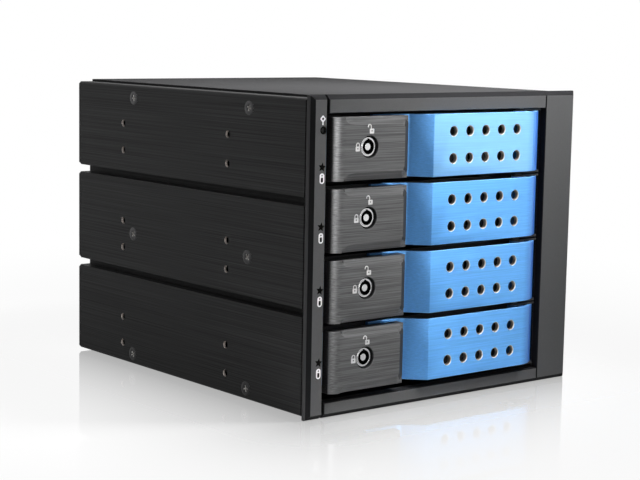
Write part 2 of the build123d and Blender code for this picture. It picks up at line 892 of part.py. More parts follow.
def latch_hook(centre):
    """Sliding hook plate behind the handle, driven aside by the button's wedge."""
    y = handle_front + recess_back + hook_gap
    near = recess_back + hook_gap
    right = button_stem_x + button_stem_width / 2
    face_near = right - (near - button_wedge_start) + hook_wedge_gap
    face_far = face_near - hook_thickness
    left = bay_left + hook_wall_gap
    outline = rectangle((left, right + hook_bar), (0, hook_thickness))
    plate = Pos(0, y, centre - hook_half_height) * extrude(outline, 2 * hook_half_height)
    window = Polyline(
        (left + hook_nose, -0.5),
        (face_near + 0.5, -0.5),
        (face_far - 0.5, hook_thickness + 0.5),
        (left + hook_nose, hook_thickness + 0.5),
        close=True,
    )
    tall = button_stem_half_height + stem_gap
    return plate - Pos(0, y, centre - tall) * extrude(make_face(window.edges()), 2 * tall)


def lock_axis(centre):
    """Height of the lock's axis."""
    return centre + lock_above_centre


def cam_y():
    """Depth where the cam starts and ends, clear of the hook."""
    start = handle_front + recess_back + hook_gap + hook_thickness + cam_gap
    return start, start + cam_thickness


def lock_cylinder(centre):
    """Round key lock: a ring shaped keyway about a centre post, and a tail for the cam."""
    z = lock_axis(centre)
    front = handle_front + lock_recess
    back = cam_y()[0]
    mouth = (front, front + lock_keyway_depth)
    half = lock_notch_width / 2
    keyway = small_round(lock_keyway_outer)
    keyway += rectangle((-half, half), (0, lock_keyway_outer + half))
    keyway -= small_round(lock_keyway_inner)
    body = rod(lock_radius, lock_x, (front, back), z) - along_y(Pos(lock_x, z) * keyway, mouth)
    return body + small_rod(lock_tail_radius, lock_x, (back, cam_y()[1] + lock_tail_end), z)


def lock_cam(centre):
    """Flat cam on the lock's tail, hanging down when the lock is open."""
    z = lock_axis(centre)
    half = cam_width / 2
    arm = cuboid((lock_x - half, lock_x + half), cam_y(), (z - cam_length, z))
    arm = chamfer(arm.edges().filter_by(Axis.Y).group_by(Axis.Z)[0], half / 2)
    hub = small_rod(half + 0.4, lock_x, cam_y(), z)
    return arm + hub - small_rod(lock_tail_radius, lock_x, cam_y(), z)


def backplane():
    """Circuit board across the back of the bays, slotted for air."""
    half = guide_outer - backplane_side_gap
    z = (panel_bottom + sheet_thickness + backplane_end_gap, panel_top - sheet_thickness - backplane_end_gap)
    board = cuboid((-half, half), (backplane_y, backplane_back), z)
    for centre in row_centres:
        top = centre + row_pitch / 2 - (row_pitch - vent_slot_height) / 4
        slot_z = (top - vent_slot_height, top)
        slot_x = (fan_x - vent_slot_half_width, fan_x + vent_slot_half_width)
        board -= cuboid(slot_x, (backplane_y, backplane_back), slot_z)
    for x, z in board_screw_places():
        board -= small_rod(board_screw_radius + screw_clearance, x, (backplane_y, backplane_back), z)
    return board


def drive_sockets():
    """The sockets that the drives plug into, one behind each tray."""
    sockets = []
    for centre in row_centres:
        low = centre - tray_below_centre + tray_sheet + drive_socket_above_floor
        middle = bay_centre + drive_socket_offset
        half = drive_socket_length / 2
        y = (backplane_y - drive_socket_depth, backplane_y)
        socket = cuboid((middle - half, middle + half), y, (low, low + drive_socket_height))
        inner_z = (low + port_wall, low + drive_socket_height - port_wall)
        half -= port_wall
        mouth = cuboid((middle - half, middle + half), (y[0], y[1] - port_wall), inner_z)
        tongue_z = (inner_z[0] + port_wall, inner_z[0] + port_wall + port_tongue)
        half -= port_wall
        tongue = cuboid((middle - half, middle + half), (y[0] + port_wall, y[1]), tongue_z)
        sockets.append(socket - mouth + tongue)
    return Compound(sockets)


def within(span, wall):
    """A pair of values with a wall taken off each end."""
    return span[0] + wall, span[1] - wall


def data_ports():
    """One data port for each drive on the back of the backplane."""
    x = (data_port_x - data_port_width / 2, data_port_x + data_port_width / 2)
    y = (backplane_back, backplane_back + data_port_depth)
    ports = []
    for centre in row_centres:
        z = (centre - data_port_height / 2, centre + data_port_height / 2)
        mouth = cuboid(within(x, port_wall), (y[0] + port_wall, y[1]), within(z, port_wall))
        low = z[0] + 2 * port_wall
        tongue = cuboid(within(x, 2 * port_wall), (y[0], y[1] - port_wall), (low, low + port_tongue))
        ports.append(cuboid(x, y, z) - mouth + tongue)
    return Compound(ports)


def power_ports():
    """Two four pin power inlets on the back of the backplane."""
    x = (power_port_x - power_port_width / 2, power_port_x + power_port_width / 2)
    y = (backplane_back, backplane_back + power_port_depth)
    half = power_pin_width / 2
    ports = []
    for middle in power_port_heights:
        z = (middle - power_port_height / 2, middle + power_port_height / 2)
        shell = cuboid(x, y, z)
        shell = chamfer(shell.edges().filter_by(Axis.Y).group_by(Axis.X)[0], 2 * port_wall)
        mouth = cuboid(within(x, port_wall), (y[0] + port_wall, y[1]), within(z, port_wall))
        mouth = chamfer(mouth.edges().filter_by(Axis.Y).group_by(Axis.X)[0], 2 * port_wall)
        port = shell - mouth
        for n in range(power_pin_count):
            pin_z = middle + power_pin_pitch * (n - (power_pin_count - 1) / 2)
            pin_x = (power_port_x - half, power_port_x + half)
            port += cuboid(pin_x, (y[0], y[1] - 2 * port_wall), (pin_z - half, pin_z + half))
        ports.append(port)
    return Compound(ports)


def alarm_buzzer():
    """Round sounder on the back of the backplane."""
    y = (backplane_back, backplane_back + buzzer_height)
    sound_hole = small_rod(buzzer_radius / 5, buzzer_x, (y[1] - buzzer_height / 3, y[1]), buzzer_z)
    return rod(buzzer_radius, buzzer_x, y, buzzer_z) - sound_hole


def board_screws():
    """Pan head screws that hold the backplane to the guide walls."""
    screws = []
    for x, z in board_screw_places():
        head = small_rod(board_screw_head_radius, x, (backplane_back, backplane_back + board_screw_head), z)
        shank = (backplane_back - board_screw_length, backplane_back)
        screws.append(head + small_rod(board_screw_radius, x, shank, z))
    return Compound(screws)


def rear_panel():
    """End plate with the section of the body, cut for the fan and the ports."""
    outline = side_outline(0)
    outline += mirror(outline, Plane.YZ)
    outer = [v for v in outline.vertices() if abs(abs(v.X) - side_x) < 1e-3]
    outline = chamfer(outer, plate_thickness)
    y = (rear_y - rear_panel_thickness, rear_y)
    panel = along_y(outline, y)
    panel -= rod(fan_bore_radius, fan_x, y, fan_z)
    for x, z in fan_hole_places():
        panel -= small_rod(fan_screw_radius + screw_clearance, x, y, z)
    for centre in row_centres:
        half_x = data_port_width / 2 + cutout_gap
        half_z = data_port_height / 2 + cutout_gap
        panel -= cuboid((data_port_x - half_x, data_port_x + half_x), y, (centre - half_z, centre + half_z))
    for middle in power_port_heights:
        half_x = power_port_width / 2 + cutout_gap
        half_z = power_port_height / 2 + cutout_gap
        panel -= cuboid((power_port_x - half_x, power_port_x + half_x), y, (middle - half_z, middle + half_z))
    return panel


def fan_hole_places():
    """The fan's four corner holes."""
    half = fan_hole_spacing / 2
    return [(fan_x + i * half, fan_z + j * half) for i in (-1, 1) for j in (-1, 1)]


def fan_frame():
    """Square fan frame with a round duct, struts across its back and the motor cup."""
    half = fan_size / 2
    y = (rear_y, rear_y + fan_depth)
    block = cuboid((fan_x - half, fan_x + half), y, (fan_z - half, fan_z + half))
    frame = chamfer(block.edges().filter_by(Axis.Y), fan_corner)
    frame -= rod(fan_bore_radius, fan_x, y, fan_z)
    for x, z in fan_hole_places():
        frame -= small_rod(fan_hole_radius, x, y, z)
    cup_y = (y[1] - fan_cup_thickness, y[1])
    wide = fan_strut_width / 2
    reach = half - wide
    frame += cuboid((fan_x - reach, fan_x + reach), cup_y, (fan_z - wide, fan_z + wide))
    frame += cuboid((fan_x - wide, fan_x + wide), cup_y, (fan_z - reach, fan_z + reach))
    frame += rod(fan_cup_radius, fan_x, cup_y, fan_z)
    return frame - rod(fan_shaft_radius + hinge_clearance, fan_x, cup_y, fan_z)


def fan_rotor():
    """Fan hub, open towards the motor, with raked blades and its shaft."""
    front = rear_y + fan_hub_front_gap
    back = front + fan_hub_length
    hub = rod(fan_hub_radius, fan_x, (front, back), fan_z)
    hub -= rod(fan_hub_radius - fan_hub_wall, fan_x, (front + fan_hub_wall, back), fan_z)
    rotor = hub + rod(fan_shaft_radius, fan_x, (front, rear_y + fan_depth), fan_z)
    blade = fan_blade((front + fan_hub_wall, back - fan_hub_wall))
    middle = Pos(fan_x, 0, fan_z)
    return rotor + [middle * Rot(0, 360 / fan_blade_count * n, 0) * blade for n in range(fan_blade_count)]


def fan_blade(y):
    """One blade that stands straight up from the hub, bent along its middle."""
    half_lean = fan_blade_lean / 2
    half = fan_blade_thickness / 2
    line = [(half_lean, y[0]), (-fan_blade_bend, (y[0] + y[1]) / 2), (-half_lean, y[1])]
    outline = [(x - half, along) for x, along in line] + [(x + half, along) for x, along in reversed(line)]
    reach = half_lean + half
    root = ((fan_hub_radius - fan_blade_sunk) ** 2 - reach**2) ** 0.5
    tip = ((fan_bore_radius - fan_blade_gap) ** 2 - reach**2) ** 0.5
    return Pos(0, 0, root) * extrude(make_face(Polyline(*outline, close=True).edges()), tip - root)


def fan_screws():
    """Four screws in the fan's corners."""
    outside = rear_y + fan_depth
    screws = []
    for x, z in fan_hole_places():
        head = small_rod(fan_screw_head_radius, x, (outside, outside + fan_screw_head), z)
        screws.append(head + small_rod(fan_screw_radius, x, (outside - fan_screw_length, outside), z))
    return Compound(screws)


def side_screws():
    """The countersunk screws of both sides."""
    left = [side_screw(y, z) for y, z in screw_places()]
    return Compound(left + [mirrored(screw) for screw in left])


def fixed_parts():
    """Every piece that doesn't move, by name."""
    return {
        "side_panel_left": side_panel(),
        "side_panel_right": mirrored(side_panel()),
        "bottom_plate": flat_plate((0, panel_bottom)),
        "top_cover": flat_plate((panel_top, chassis_height)),
        "front_frame": front_frame(),
        "bezel_left_column": bezel_left_column(),
        "bezel_right_column": bezel_right_column(),
        "bezel_top_bar": bezel_top_bar(),
        "bezel_bottom_bar": bezel_bottom_bar(),
        "led_board": led_board(),
        "led_lenses": led_lenses(),
        "guide_wall_left": guide_wall_left(),
        "guide_wall_right": guide_wall_right(),
        "guide_rails": guide_rails(),
        "guide_spacers": guide_spacers(),
        "backplane": backplane(),
        "drive_sockets": drive_sockets(),
        "data_ports": data_ports(),
        "power_ports": power_ports(),
        "alarm_buzzer": alarm_buzzer(),
        "board_screws": board_screws(),
        "rear_panel": rear_panel(),
        "fan_frame": fan_frame(),
        "fan_screws": fan_screws(),
        "side_screws": side_screws(),
    }


def row_parts(number, centre):
    """The pieces of one row, which all ride on its tray."""
    return {
        f"tray_{number}": tray(centre),
        f"tray_front_{number}": tray_front(centre),
        f"hinge_pin_{number}": hinge_pin(centre),
        f"handle_{number}": handle(centre),
        f"latch_button_{number}": latch_button(centre),
        f"latch_hook_{number}": latch_hook(centre),
        f"lock_cylinder_{number}": lock_cylinder(centre),
        f"lock_cam_{number}": lock_cam(centre),
    }


def all_parts():
    """Every piece by name. Rows are numbered from the top."""
    parts = fixed_parts()
    parts["reset_button"] = reset_button()
    parts["fan_rotor"] = fan_rotor()
    for number, centre in enumerate(reversed(row_centres), start=1):
        parts.update(row_parts(number, centre))
    return parts


os.makedirs("parts", exist_ok=True)
for name, shape in all_parts().items():
    export_step(shape, f"parts/{name}.step")
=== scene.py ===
import bpy
import math
from mathutils import Matrix, Vector


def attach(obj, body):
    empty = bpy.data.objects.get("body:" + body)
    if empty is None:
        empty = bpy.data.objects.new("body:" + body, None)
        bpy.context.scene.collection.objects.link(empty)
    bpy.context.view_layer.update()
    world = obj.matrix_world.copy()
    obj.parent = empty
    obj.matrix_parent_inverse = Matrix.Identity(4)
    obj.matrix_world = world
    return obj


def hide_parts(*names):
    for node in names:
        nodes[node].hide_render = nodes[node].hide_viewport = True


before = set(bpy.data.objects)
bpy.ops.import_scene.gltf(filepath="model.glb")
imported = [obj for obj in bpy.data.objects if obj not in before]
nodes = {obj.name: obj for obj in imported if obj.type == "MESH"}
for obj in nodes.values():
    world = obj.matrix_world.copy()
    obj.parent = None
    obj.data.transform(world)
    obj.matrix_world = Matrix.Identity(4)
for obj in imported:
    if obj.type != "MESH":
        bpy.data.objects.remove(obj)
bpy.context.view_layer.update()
print("frame loaded:", len(nodes), "nodes")

rowNumbers = (1, 2, 3, 4)  # counted from the top
rowHeights = {1: 106.3, 2: 78.3, 3: 50.3, 4: 22.3}
mm = 0.001
tiny = 0.01 * mm
quarterTurn = math.radians(90)
lockAxis = (-46.6, 0.6)  # across, and up from the middle of the row
squareFace = 0.9  # how straight along an axis a face has to look to be picked


# small helpers

def deselectAll():
    bpy.ops.object.select_all(action="DESELECT")


def pickOnly(piece):
    deselectAll()
    piece.select_set(True)
    bpy.context.view_layer.objects.active = piece


def placeMesh(piece):
    pickOnly(piece)
    bpy.ops.object.transform_apply(location=True, rotation=True, scale=True)


def startPiece(name, scale=(1, 1, 1)):  # names the new primitive and puts its size and place into its mesh
    piece = bpy.context.active_object
    piece.name = name
    piece.data.name = name
    piece.scale = scale
    placeMesh(piece)
    return piece


def enterEdit(piece, kind):
    pickOnly(piece)
    bpy.ops.object.mode_set(mode="EDIT")
    bpy.ops.mesh.select_mode(type=kind)
    bpy.ops.mesh.select_all(action="DESELECT")
    bpy.ops.object.mode_set(mode="OBJECT")


def selectFaces(piece, test):  # leaves edit mode on with the faces that pass selected
    enterEdit(piece, "FACE")
    for face in piece.data.polygons:
        face.select = test(face)
    bpy.ops.object.mode_set(mode="EDIT")


def looksFront(face):
    return face.normal.y < -squareFace


def looksDown(face):
    return face.normal.z < -squareFace


def selectEdges(piece, test):  # the same for edges, whose two ends are given to the test
    enterEdit(piece, "EDGE")
    points = piece.data.vertices
    for edge in piece.data.edges:
        edge.select = test(points[edge.vertices[0]].co, points[edge.vertices[1]].co)
    bpy.ops.object.mode_set(mode="EDIT")


def selectEverything(piece):
    pickOnly(piece)
    bpy.ops.object.mode_set(mode="EDIT")
    bpy.ops.mesh.select_all(action="SELECT")


def extrudeBy(x, y, z):
    bpy.ops.mesh.extrude_region_move(TRANSFORM_OT_translate={"value": (x * mm, y * mm, z * mm)})


def leaveEdit():
    bpy.ops.object.mode_set(mode="OBJECT")


def addModifier(piece, kind, **settings):
    modifier = piece.modifiers.new(kind.title(), kind)
    for key, value in settings.items():
        setattr(modifier, key, value)
    pickOnly(piece)
    bpy.ops.object.modifier_apply(modifier=modifier.name)


def cutWith(piece, cutter):
    addModifier(piece, "BOOLEAN", operation="DIFFERENCE", object=cutter, solver="EXACT")
    bpy.data.objects.remove(cutter)


def fuseWith(piece, other):
    addModifier(piece, "BOOLEAN", operation="UNION", object=other, solver="EXACT")
    bpy.data.objects.remove(other)


def roundEdges(piece, width, angle=28, segments=2):
    addModifier(piece, "BEVEL", width=width * mm, segments=segments, limit_method="ANGLE",
                angle_limit=math.radians(angle))


def smooth(piece, angle=35):
    pickOnly(piece)
    bpy.ops.object.shade_smooth_by_angle(angle=math.radians(angle))


def copyPiece(master, name, matrix):
    piece = bpy.data.objects.new(name, master.data.copy())
    piece.data.transform(matrix)
    piece.data.name = name
    bpy.context.scene.collection.objects.link(piece)
    return piece


def joinPieces(pieces, name):
    pickOnly(pieces[0])
    for piece in pieces[1:]:
        piece.select_set(True)
    bpy.ops.object.join()
    joined = bpy.context.active_object
    joined.name = name
    joined.data.name = name
    return joined


def finishPiece(piece, material, slotName, body, *replaced):
    piece.data.materials.clear()
    piece.data.materials.append(material)
    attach(piece, body)
    if replaced:
        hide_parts(*replaced)


def roundAlongY(name, x, z, radius, y, sides=40):  # a plain round, used to cut with or to start from
    bpy.ops.mesh.primitive_cylinder_add(
        vertices=sides, radius=radius * mm, depth=(y[1] - y[0]) * mm,
        location=(x * mm, (y[0] + y[1]) / 2 * mm, z * mm), rotation=(quarterTurn, 0, 0))
    return startPiece(name)


def block(name, x, y, z):
    middle = [(low + high) / 2 * mm for low, high in (x, y, z)]
    bpy.ops.mesh.primitive_cube_add(size=mm, location=middle)
    return startPiece(name, [high - low for low, high in (x, y, z)])


# camera, matched to the photograph

camera = {
    "place": (-0.465519, -0.57593, 0.154203),
    "yaw": 39.118,
    "pitch": 7.503,
    "roll": 1.071,
    "lens": 92.19,
    "sensor": 36,
    "nearEnd": 0.01,
    "farEnd": 50,
}


def makeCamera():
    yaw, pitch, roll = (math.radians(camera[key]) for key in ("yaw", "pitch", "roll"))
    ahead = Vector((math.sin(yaw) * math.cos(pitch), math.cos(yaw) * math.cos(pitch), -math.sin(pitch)))
    right = Vector((math.cos(yaw), -math.sin(yaw), 0))
    up = right.cross(ahead)
    rolledRight = math.cos(roll) * right + math.sin(roll) * up
    rolledUp = -math.sin(roll) * right + math.cos(roll) * up
    data = bpy.data.cameras.new("photoCamera")
    data.lens = camera["lens"]
    data.sensor_width = camera["sensor"]
    data.sensor_fit = "HORIZONTAL"
    data.clip_start = camera["nearEnd"]
    data.clip_end = camera["farEnd"]
    eye = bpy.data.objects.new("photoCamera", data)
    bpy.context.scene.collection.objects.link(eye)
    turn = Matrix((rolledRight, rolledUp, -ahead)).transposed().to_4x4()
    eye.matrix_world = Matrix.Translation(Vector(camera["place"])) @ turn
    bpy.context.scene.camera = eye


makeCamera()
print("camera set")


# studio: white floor with a soft reflection, white surround, soft lamps

studio = {
    "surround": 0.16,
    "floorSize": 8.0,
    "floorWhite": 0.80,
    "floorDrop": 0.0001,
    "footprint": (74, 90),  # half width and half depth of what stands on the floor
    "reflection": 0.5,  # share of it at the foot of the cage
    "reflectionReach": 140,
    "reflectionFall": 2.8,
    "mirrorRough": 0.03,
    "shadowShare": 0.14,
    "shadowReach": 330,
    "shadowFall": 1.6,
    "floorGlint": 0.5,  # painted shade: how much darker the floor is in reflections near the cage
    "floorGlintReach": 700,
    "floorGlintFall": 1.5,
    "card": ((-0.232, -0.333), (-0.31, -0.11)),  # its two ends on the floor
    "cardHeight": 0.22,
    "cardShade": 0.05,
    "cardRough": 0.9,
}

lamps = [
    # name, place, aimed at, width, height, spread, watts
    ("keyRight", (0.23, -0.23, 0.46), (0.06, -0.09, 0.21), 0.12, 0.12, 38, 0.5),
    ("frontStrip", (-0.31, -0.9, 0.2), (0.0, -0.09, 0.07), 0.34, 0.5, 180, 3.4),
    ("topSoft", (0.1, -0.1, 1.2), (0.0, 0.0, 0.1), 1.0, 1.0, 180, 2.5),
    ("leftSoft", (-1.3, 0.1, 0.6), (-0.07, 0.0, 0.06), 0.8, 0.8, 180, 2.0),
    ("backSoft", (-0.9, 1.2, 0.7), (0.0, 0.1, 0.06), 0.8, 0.8, 180, 1.2),
]


def fillInputs(tree, node, values):  # in the node's own order, with links for sockets and the rest as values
    for socket, value in zip(node.inputs, values):
        if isinstance(value, bpy.types.NodeSocket):
            tree.links.new(value, socket)
        else:
            socket.default_value = value


def mathNode(tree, operation, *values):
    node = tree.nodes.new("ShaderNodeMath")
    node.operation = operation
    fillInputs(tree, node, values)
    return node.outputs[0]


def vectorNode(tree, operation, *values):
    node = tree.nodes.new("ShaderNodeVectorMath")
    node.operation = operation
    fillInputs(tree, node, values)
    return node.outputs["Value" if operation in ("LENGTH", "DOT_PRODUCT") else "Vector"]


def rangeNode(tree, *values):  # the value, the range it comes from and the range it is mapped to
    node = tree.nodes.new("ShaderNodeMapRange")
    fillInputs(tree, node, values)
    return node.outputs["Result"]


def mixShaders(tree, share, first, second):
    node = tree.nodes.new("ShaderNodeMixShader")
    fillInputs(tree, node, (share, first.outputs[0], second.outputs[0]))
    return node


def ownPlace(tree):
    return tree.nodes.new("ShaderNodeTexCoord").outputs["Object"]


def seenByRays(tree):  # 1 for the camera's, reflected and transmitted rays, then 1 for the camera's alone
    path = tree.nodes.new("ShaderNodeLightPath")
    fromCamera = path.outputs["Is Camera Ray"]
    seen = mathNode(tree, "MAXIMUM", fromCamera, path.outputs["Is Glossy Ray"])
    return mathNode(tree, "MAXIMUM", seen, path.outputs["Is Transmission Ray"]), fromCamera


def makeSurround():
    world = bpy.data.worlds.new("whiteSurround")
    bpy.context.scene.world = world
    world.use_nodes = True
    tree = world.node_tree
    tree.nodes.clear()
    seen = seenByRays(tree)[0]
    strength = mathNode(tree, "MULTIPLY", seen, 1 - studio["surround"])
    strength = mathNode(tree, "ADD", strength, studio["surround"])
    background = tree.nodes.new("ShaderNodeBackground")
    background.inputs["Color"].default_value = (1, 1, 1, 1)
    tree.links.new(strength, background.inputs["Strength"])
    out = tree.nodes.new("ShaderNodeOutputWorld")
    tree.links.new(background.outputs[0], out.inputs["Surface"])


def nearObject(tree, reach, fall):  # 1 at the foot of the cage, 0 from this far away
    halfWide, halfDeep = studio["footprint"]
    away = vectorNode(tree, "ABSOLUTE", ownPlace(tree))
    past = vectorNode(tree, "SUBTRACT", away, (halfWide * mm, halfDeep * mm, 0))
    distance = vectorNode(tree, "LENGTH", vectorNode(tree, "MAXIMUM", past, (0, 0, 0)))
    return mathNode(tree, "POWER", rangeNode(tree, distance, 0, reach * mm, 1, 0), fall)


def makeFloor():
    bpy.ops.mesh.primitive_plane_add(size=studio["floorSize"], location=(0, 0, -studio["floorDrop"]))
    floor = startPiece("studioFloor")
    material = bpy.data.materials.new("whiteFloor")
    material.use_nodes = True
    tree = material.node_tree
    tree.nodes.clear()
    seen, fromCamera = seenByRays(tree)
    white = tree.nodes.new("ShaderNodeEmission")
    white.inputs["Color"].default_value = (1, 1, 1, 1)
    # painted shade: near the cage the floor's white is dimmed for reflected rays, so its reflections darken
    reflectedShade = nearObject(tree, studio["floorGlintReach"], studio["floorGlintFall"])
    reflectedShade = mathNode(tree, "MULTIPLY", reflectedShade, studio["floorGlint"])
    reflectedShade = mathNode(tree, "MULTIPLY", reflectedShade, mathNode(tree, "SUBTRACT", 1.0, fromCamera))
    tree.links.new(mathNode(tree, "SUBTRACT", 1.0, reflectedShade), white.inputs["Strength"])
    matte = tree.nodes.new("ShaderNodeBsdfDiffuse")
    matte.inputs["Color"].default_value = (studio["floorWhite"],) * 3 + (1,)
    mirror = tree.nodes.new("ShaderNodeBsdfGlossy")
    mirror.inputs["Roughness"].default_value = studio["mirrorRough"]
    mirror.inputs["Color"].default_value = (1, 1, 1, 1)
    shadow = nearObject(tree, studio["shadowReach"], studio["shadowFall"])
    shown = mathNode(tree, "MULTIPLY", shadow, studio["shadowShare"])
    hidden = mathNode(tree, "SUBTRACT", 1.0, shown)
    hidden = mathNode(tree, "MULTIPLY", hidden, seen)
    matteShare = mathNode(tree, "SUBTRACT", 1.0, hidden)  # 1 for light that bounces off the floor
    reflection = nearObject(tree, studio["reflectionReach"], studio["reflectionFall"])
    reflection = mathNode(tree, "MULTIPLY", reflection, studio["reflection"])
    reflection = mathNode(tree, "MULTIPLY", reflection, fromCamera)
    both = mixShaders(tree, reflection, mixShaders(tree, matteShare, white, matte), mirror)
    out = tree.nodes.new("ShaderNodeOutputMaterial")
    tree.links.new(both.outputs[0], out.inputs["Surface"])
    floor.data.materials.append(material)


def makeDarkCard():  # only reflections see it, so that what faces the camera looks darker
    (x1, y1), (x2, y2) = studio["card"]
    high = studio["cardHeight"]
    bpy.ops.mesh.primitive_plane_add(size=1, location=((x1 + x2) / 2, (y1 + y2) / 2, high / 2),
                                     rotation=(quarterTurn, 0, math.atan2(y2 - y1, x2 - x1)))
    card = startPiece("darkCard", (math.hypot(x2 - x1, y2 - y1), high, 1))
    material = bpy.data.materials.new("darkCard")
    material.use_nodes = True
    shader = material.node_tree.nodes["Principled BSDF"]
    shader.inputs["Base Color"].default_value = (studio["cardShade"],) * 3 + (1,)
    shader.inputs["Roughness"].default_value = studio["cardRough"]
    card.data.materials.append(material)
    card.visible_camera = False
    card.visible_diffuse = False
    card.visible_shadow = False


def makeLamps():
    for name, place, target, width, height, spread, watts in lamps:
        data = bpy.data.lights.new(name, "AREA")
        data.shape = "RECTANGLE"
        data.size = width
        data.size_y = height
        data.spread = math.radians(spread)
        data.energy = watts
        lamp = bpy.data.objects.new(name, data)
        bpy.context.scene.collection.objects.link(lamp)
        lamp.location = place
        lamp.visible_diffuse = name != "frontStrip"  # this one only makes glints on the rounded edges
        lamp.visible_glossy = name != "keyRight"  # and this one makes none
        lamp.rotation_euler = (Vector(target) - Vector(place)).to_track_quat("-Z", "Y").to_euler()


makeSurround()
makeFloor()
makeDarkCard()
makeLamps()
bpy.context.scene.view_settings.view_transform = "Standard"
print("studio set")


# shared surface effects

effects = {
    "softEdge": 0.0002, "bevelSamples": 4,
    "grainRelief": 0.00004, "grainDetail": 3.0, "grainRough": 0.65,
    "speckRelief": 0.00006, "speckDetail": 2.0,
    "noiseRange": (0.3, 0.7), "rubRange": (0.995, 0.85), "rubWidth": 0.00035, "rubAmount": 0.7,
}


def newGroup(name, inputs, outputs):
    group = bpy.data.node_groups.new(name, "ShaderNodeTree")
    for label, kind, value in inputs:
        socket = group.interface.new_socket(name=label, in_out="INPUT", socket_type=kind)
        socket.default_value = value
    for label, kind in outputs:
        group.interface.new_socket(name=label, in_out="OUTPUT", socket_type=kind)
    return group, group.nodes.new("NodeGroupInput"), group.nodes.new("NodeGroupOutput")


def bumpedShade(group, start, end, noise, distance):  # shade and relief from one noise, on softened edges
    shade = rangeNode(group, noise.outputs[0], *effects["noiseRange"],
                      start.outputs["Low"], start.outputs["High"])
    rounded = group.nodes.new("ShaderNodeBevel")
    rounded.samples = effects["bevelSamples"]
    group.links.new(start.outputs["Soften"], rounded.inputs["Radius"])
    bump = group.nodes.new("ShaderNodeBump")
    bump.inputs["Distance"].default_value = distance
    group.links.new(noise.outputs[0], bump.inputs["Height"])
    group.links.new(start.outputs["Depth"], bump.inputs["Strength"])
    group.links.new(rounded.outputs[0], bump.inputs["Normal"])
    group.links.new(shade, end.inputs["Shade"])
    group.links.new(bump.outputs[0], end.inputs["Normal"])


def makeGrainGroup():  # streaks drawn out along one direction, from brushing or rolling
    group, start, end = newGroup(
        "brushedGrain",
        [("Stretch", "NodeSocketVector", (100, 100, 100)), ("Low", "NodeSocketFloat", 0.9),
         ("High", "NodeSocketFloat", 1.1), ("Depth", "NodeSocketFloat", 1.0),
         ("Soften", "NodeSocketFloat", effects["softEdge"])],
        [("Shade", "NodeSocketFloat"), ("Normal", "NodeSocketVector")])
    scaled = vectorNode(group, "MULTIPLY", ownPlace(group), start.outputs["Stretch"])
    noise = group.nodes.new("ShaderNodeTexNoise")
    noise.inputs["Scale"].default_value = 1.0
    noise.inputs["Detail"].default_value = effects["grainDetail"]
    noise.inputs["Roughness"].default_value = effects["grainRough"]
    group.links.new(scaled, noise.inputs["Vector"])
    bumpedShade(group, start, end, noise, effects["grainRelief"])
    return group


def makeSpeckGroup():  # fine even texture of powder coat, moulded plastic or solder mask
    group, start, end = newGroup(
        "fineSpeck",
        [("Scale", "NodeSocketFloat", 2500.0), ("Low", "NodeSocketFloat", 0.92),
         ("High", "NodeSocketFloat", 1.08), ("Depth", "NodeSocketFloat", 0.4),
         ("Soften", "NodeSocketFloat", effects["softEdge"])],
        [("Shade", "NodeSocketFloat"), ("Normal", "NodeSocketVector")])
    noise = group.nodes.new("ShaderNodeTexNoise")
    noise.inputs["Detail"].default_value = effects["speckDetail"]
    group.links.new(ownPlace(group), noise.inputs["Vector"])
    group.links.new(start.outputs["Scale"], noise.inputs["Scale"])
    bumpedShade(group, start, end, noise, effects["speckRelief"])
    return group


def makeEdgeHighlightGroup():  # 1 along sharp edges, 0 on flats: the mask for the painted highlight on edges
    group, start, end = newGroup(
        "edgeHighlight", [("Width", "NodeSocketFloat", 0.0003), ("Amount", "NodeSocketFloat", 1.0)],
        [("Mask", "NodeSocketFloat")])
    bevel = group.nodes.new("ShaderNodeBevel")
    bevel.samples = effects["bevelSamples"]
    group.links.new(start.outputs["Width"], bevel.inputs["Radius"])
    facing = group.nodes.new("ShaderNodeNewGeometry")
    turned = vectorNode(group, "DOT_PRODUCT", bevel.outputs[0], facing.outputs["Normal"])
    mask = rangeNode(group, turned, *effects["rubRange"])
    group.links.new(mathNode(group, "MULTIPLY", mask, start.outputs["Amount"]), end.inputs["Mask"])
    return group


grainGroup = makeGrainGroup()
speckGroup = makeSpeckGroup()
edgeHighlightGroup = makeEdgeHighlightGroup()
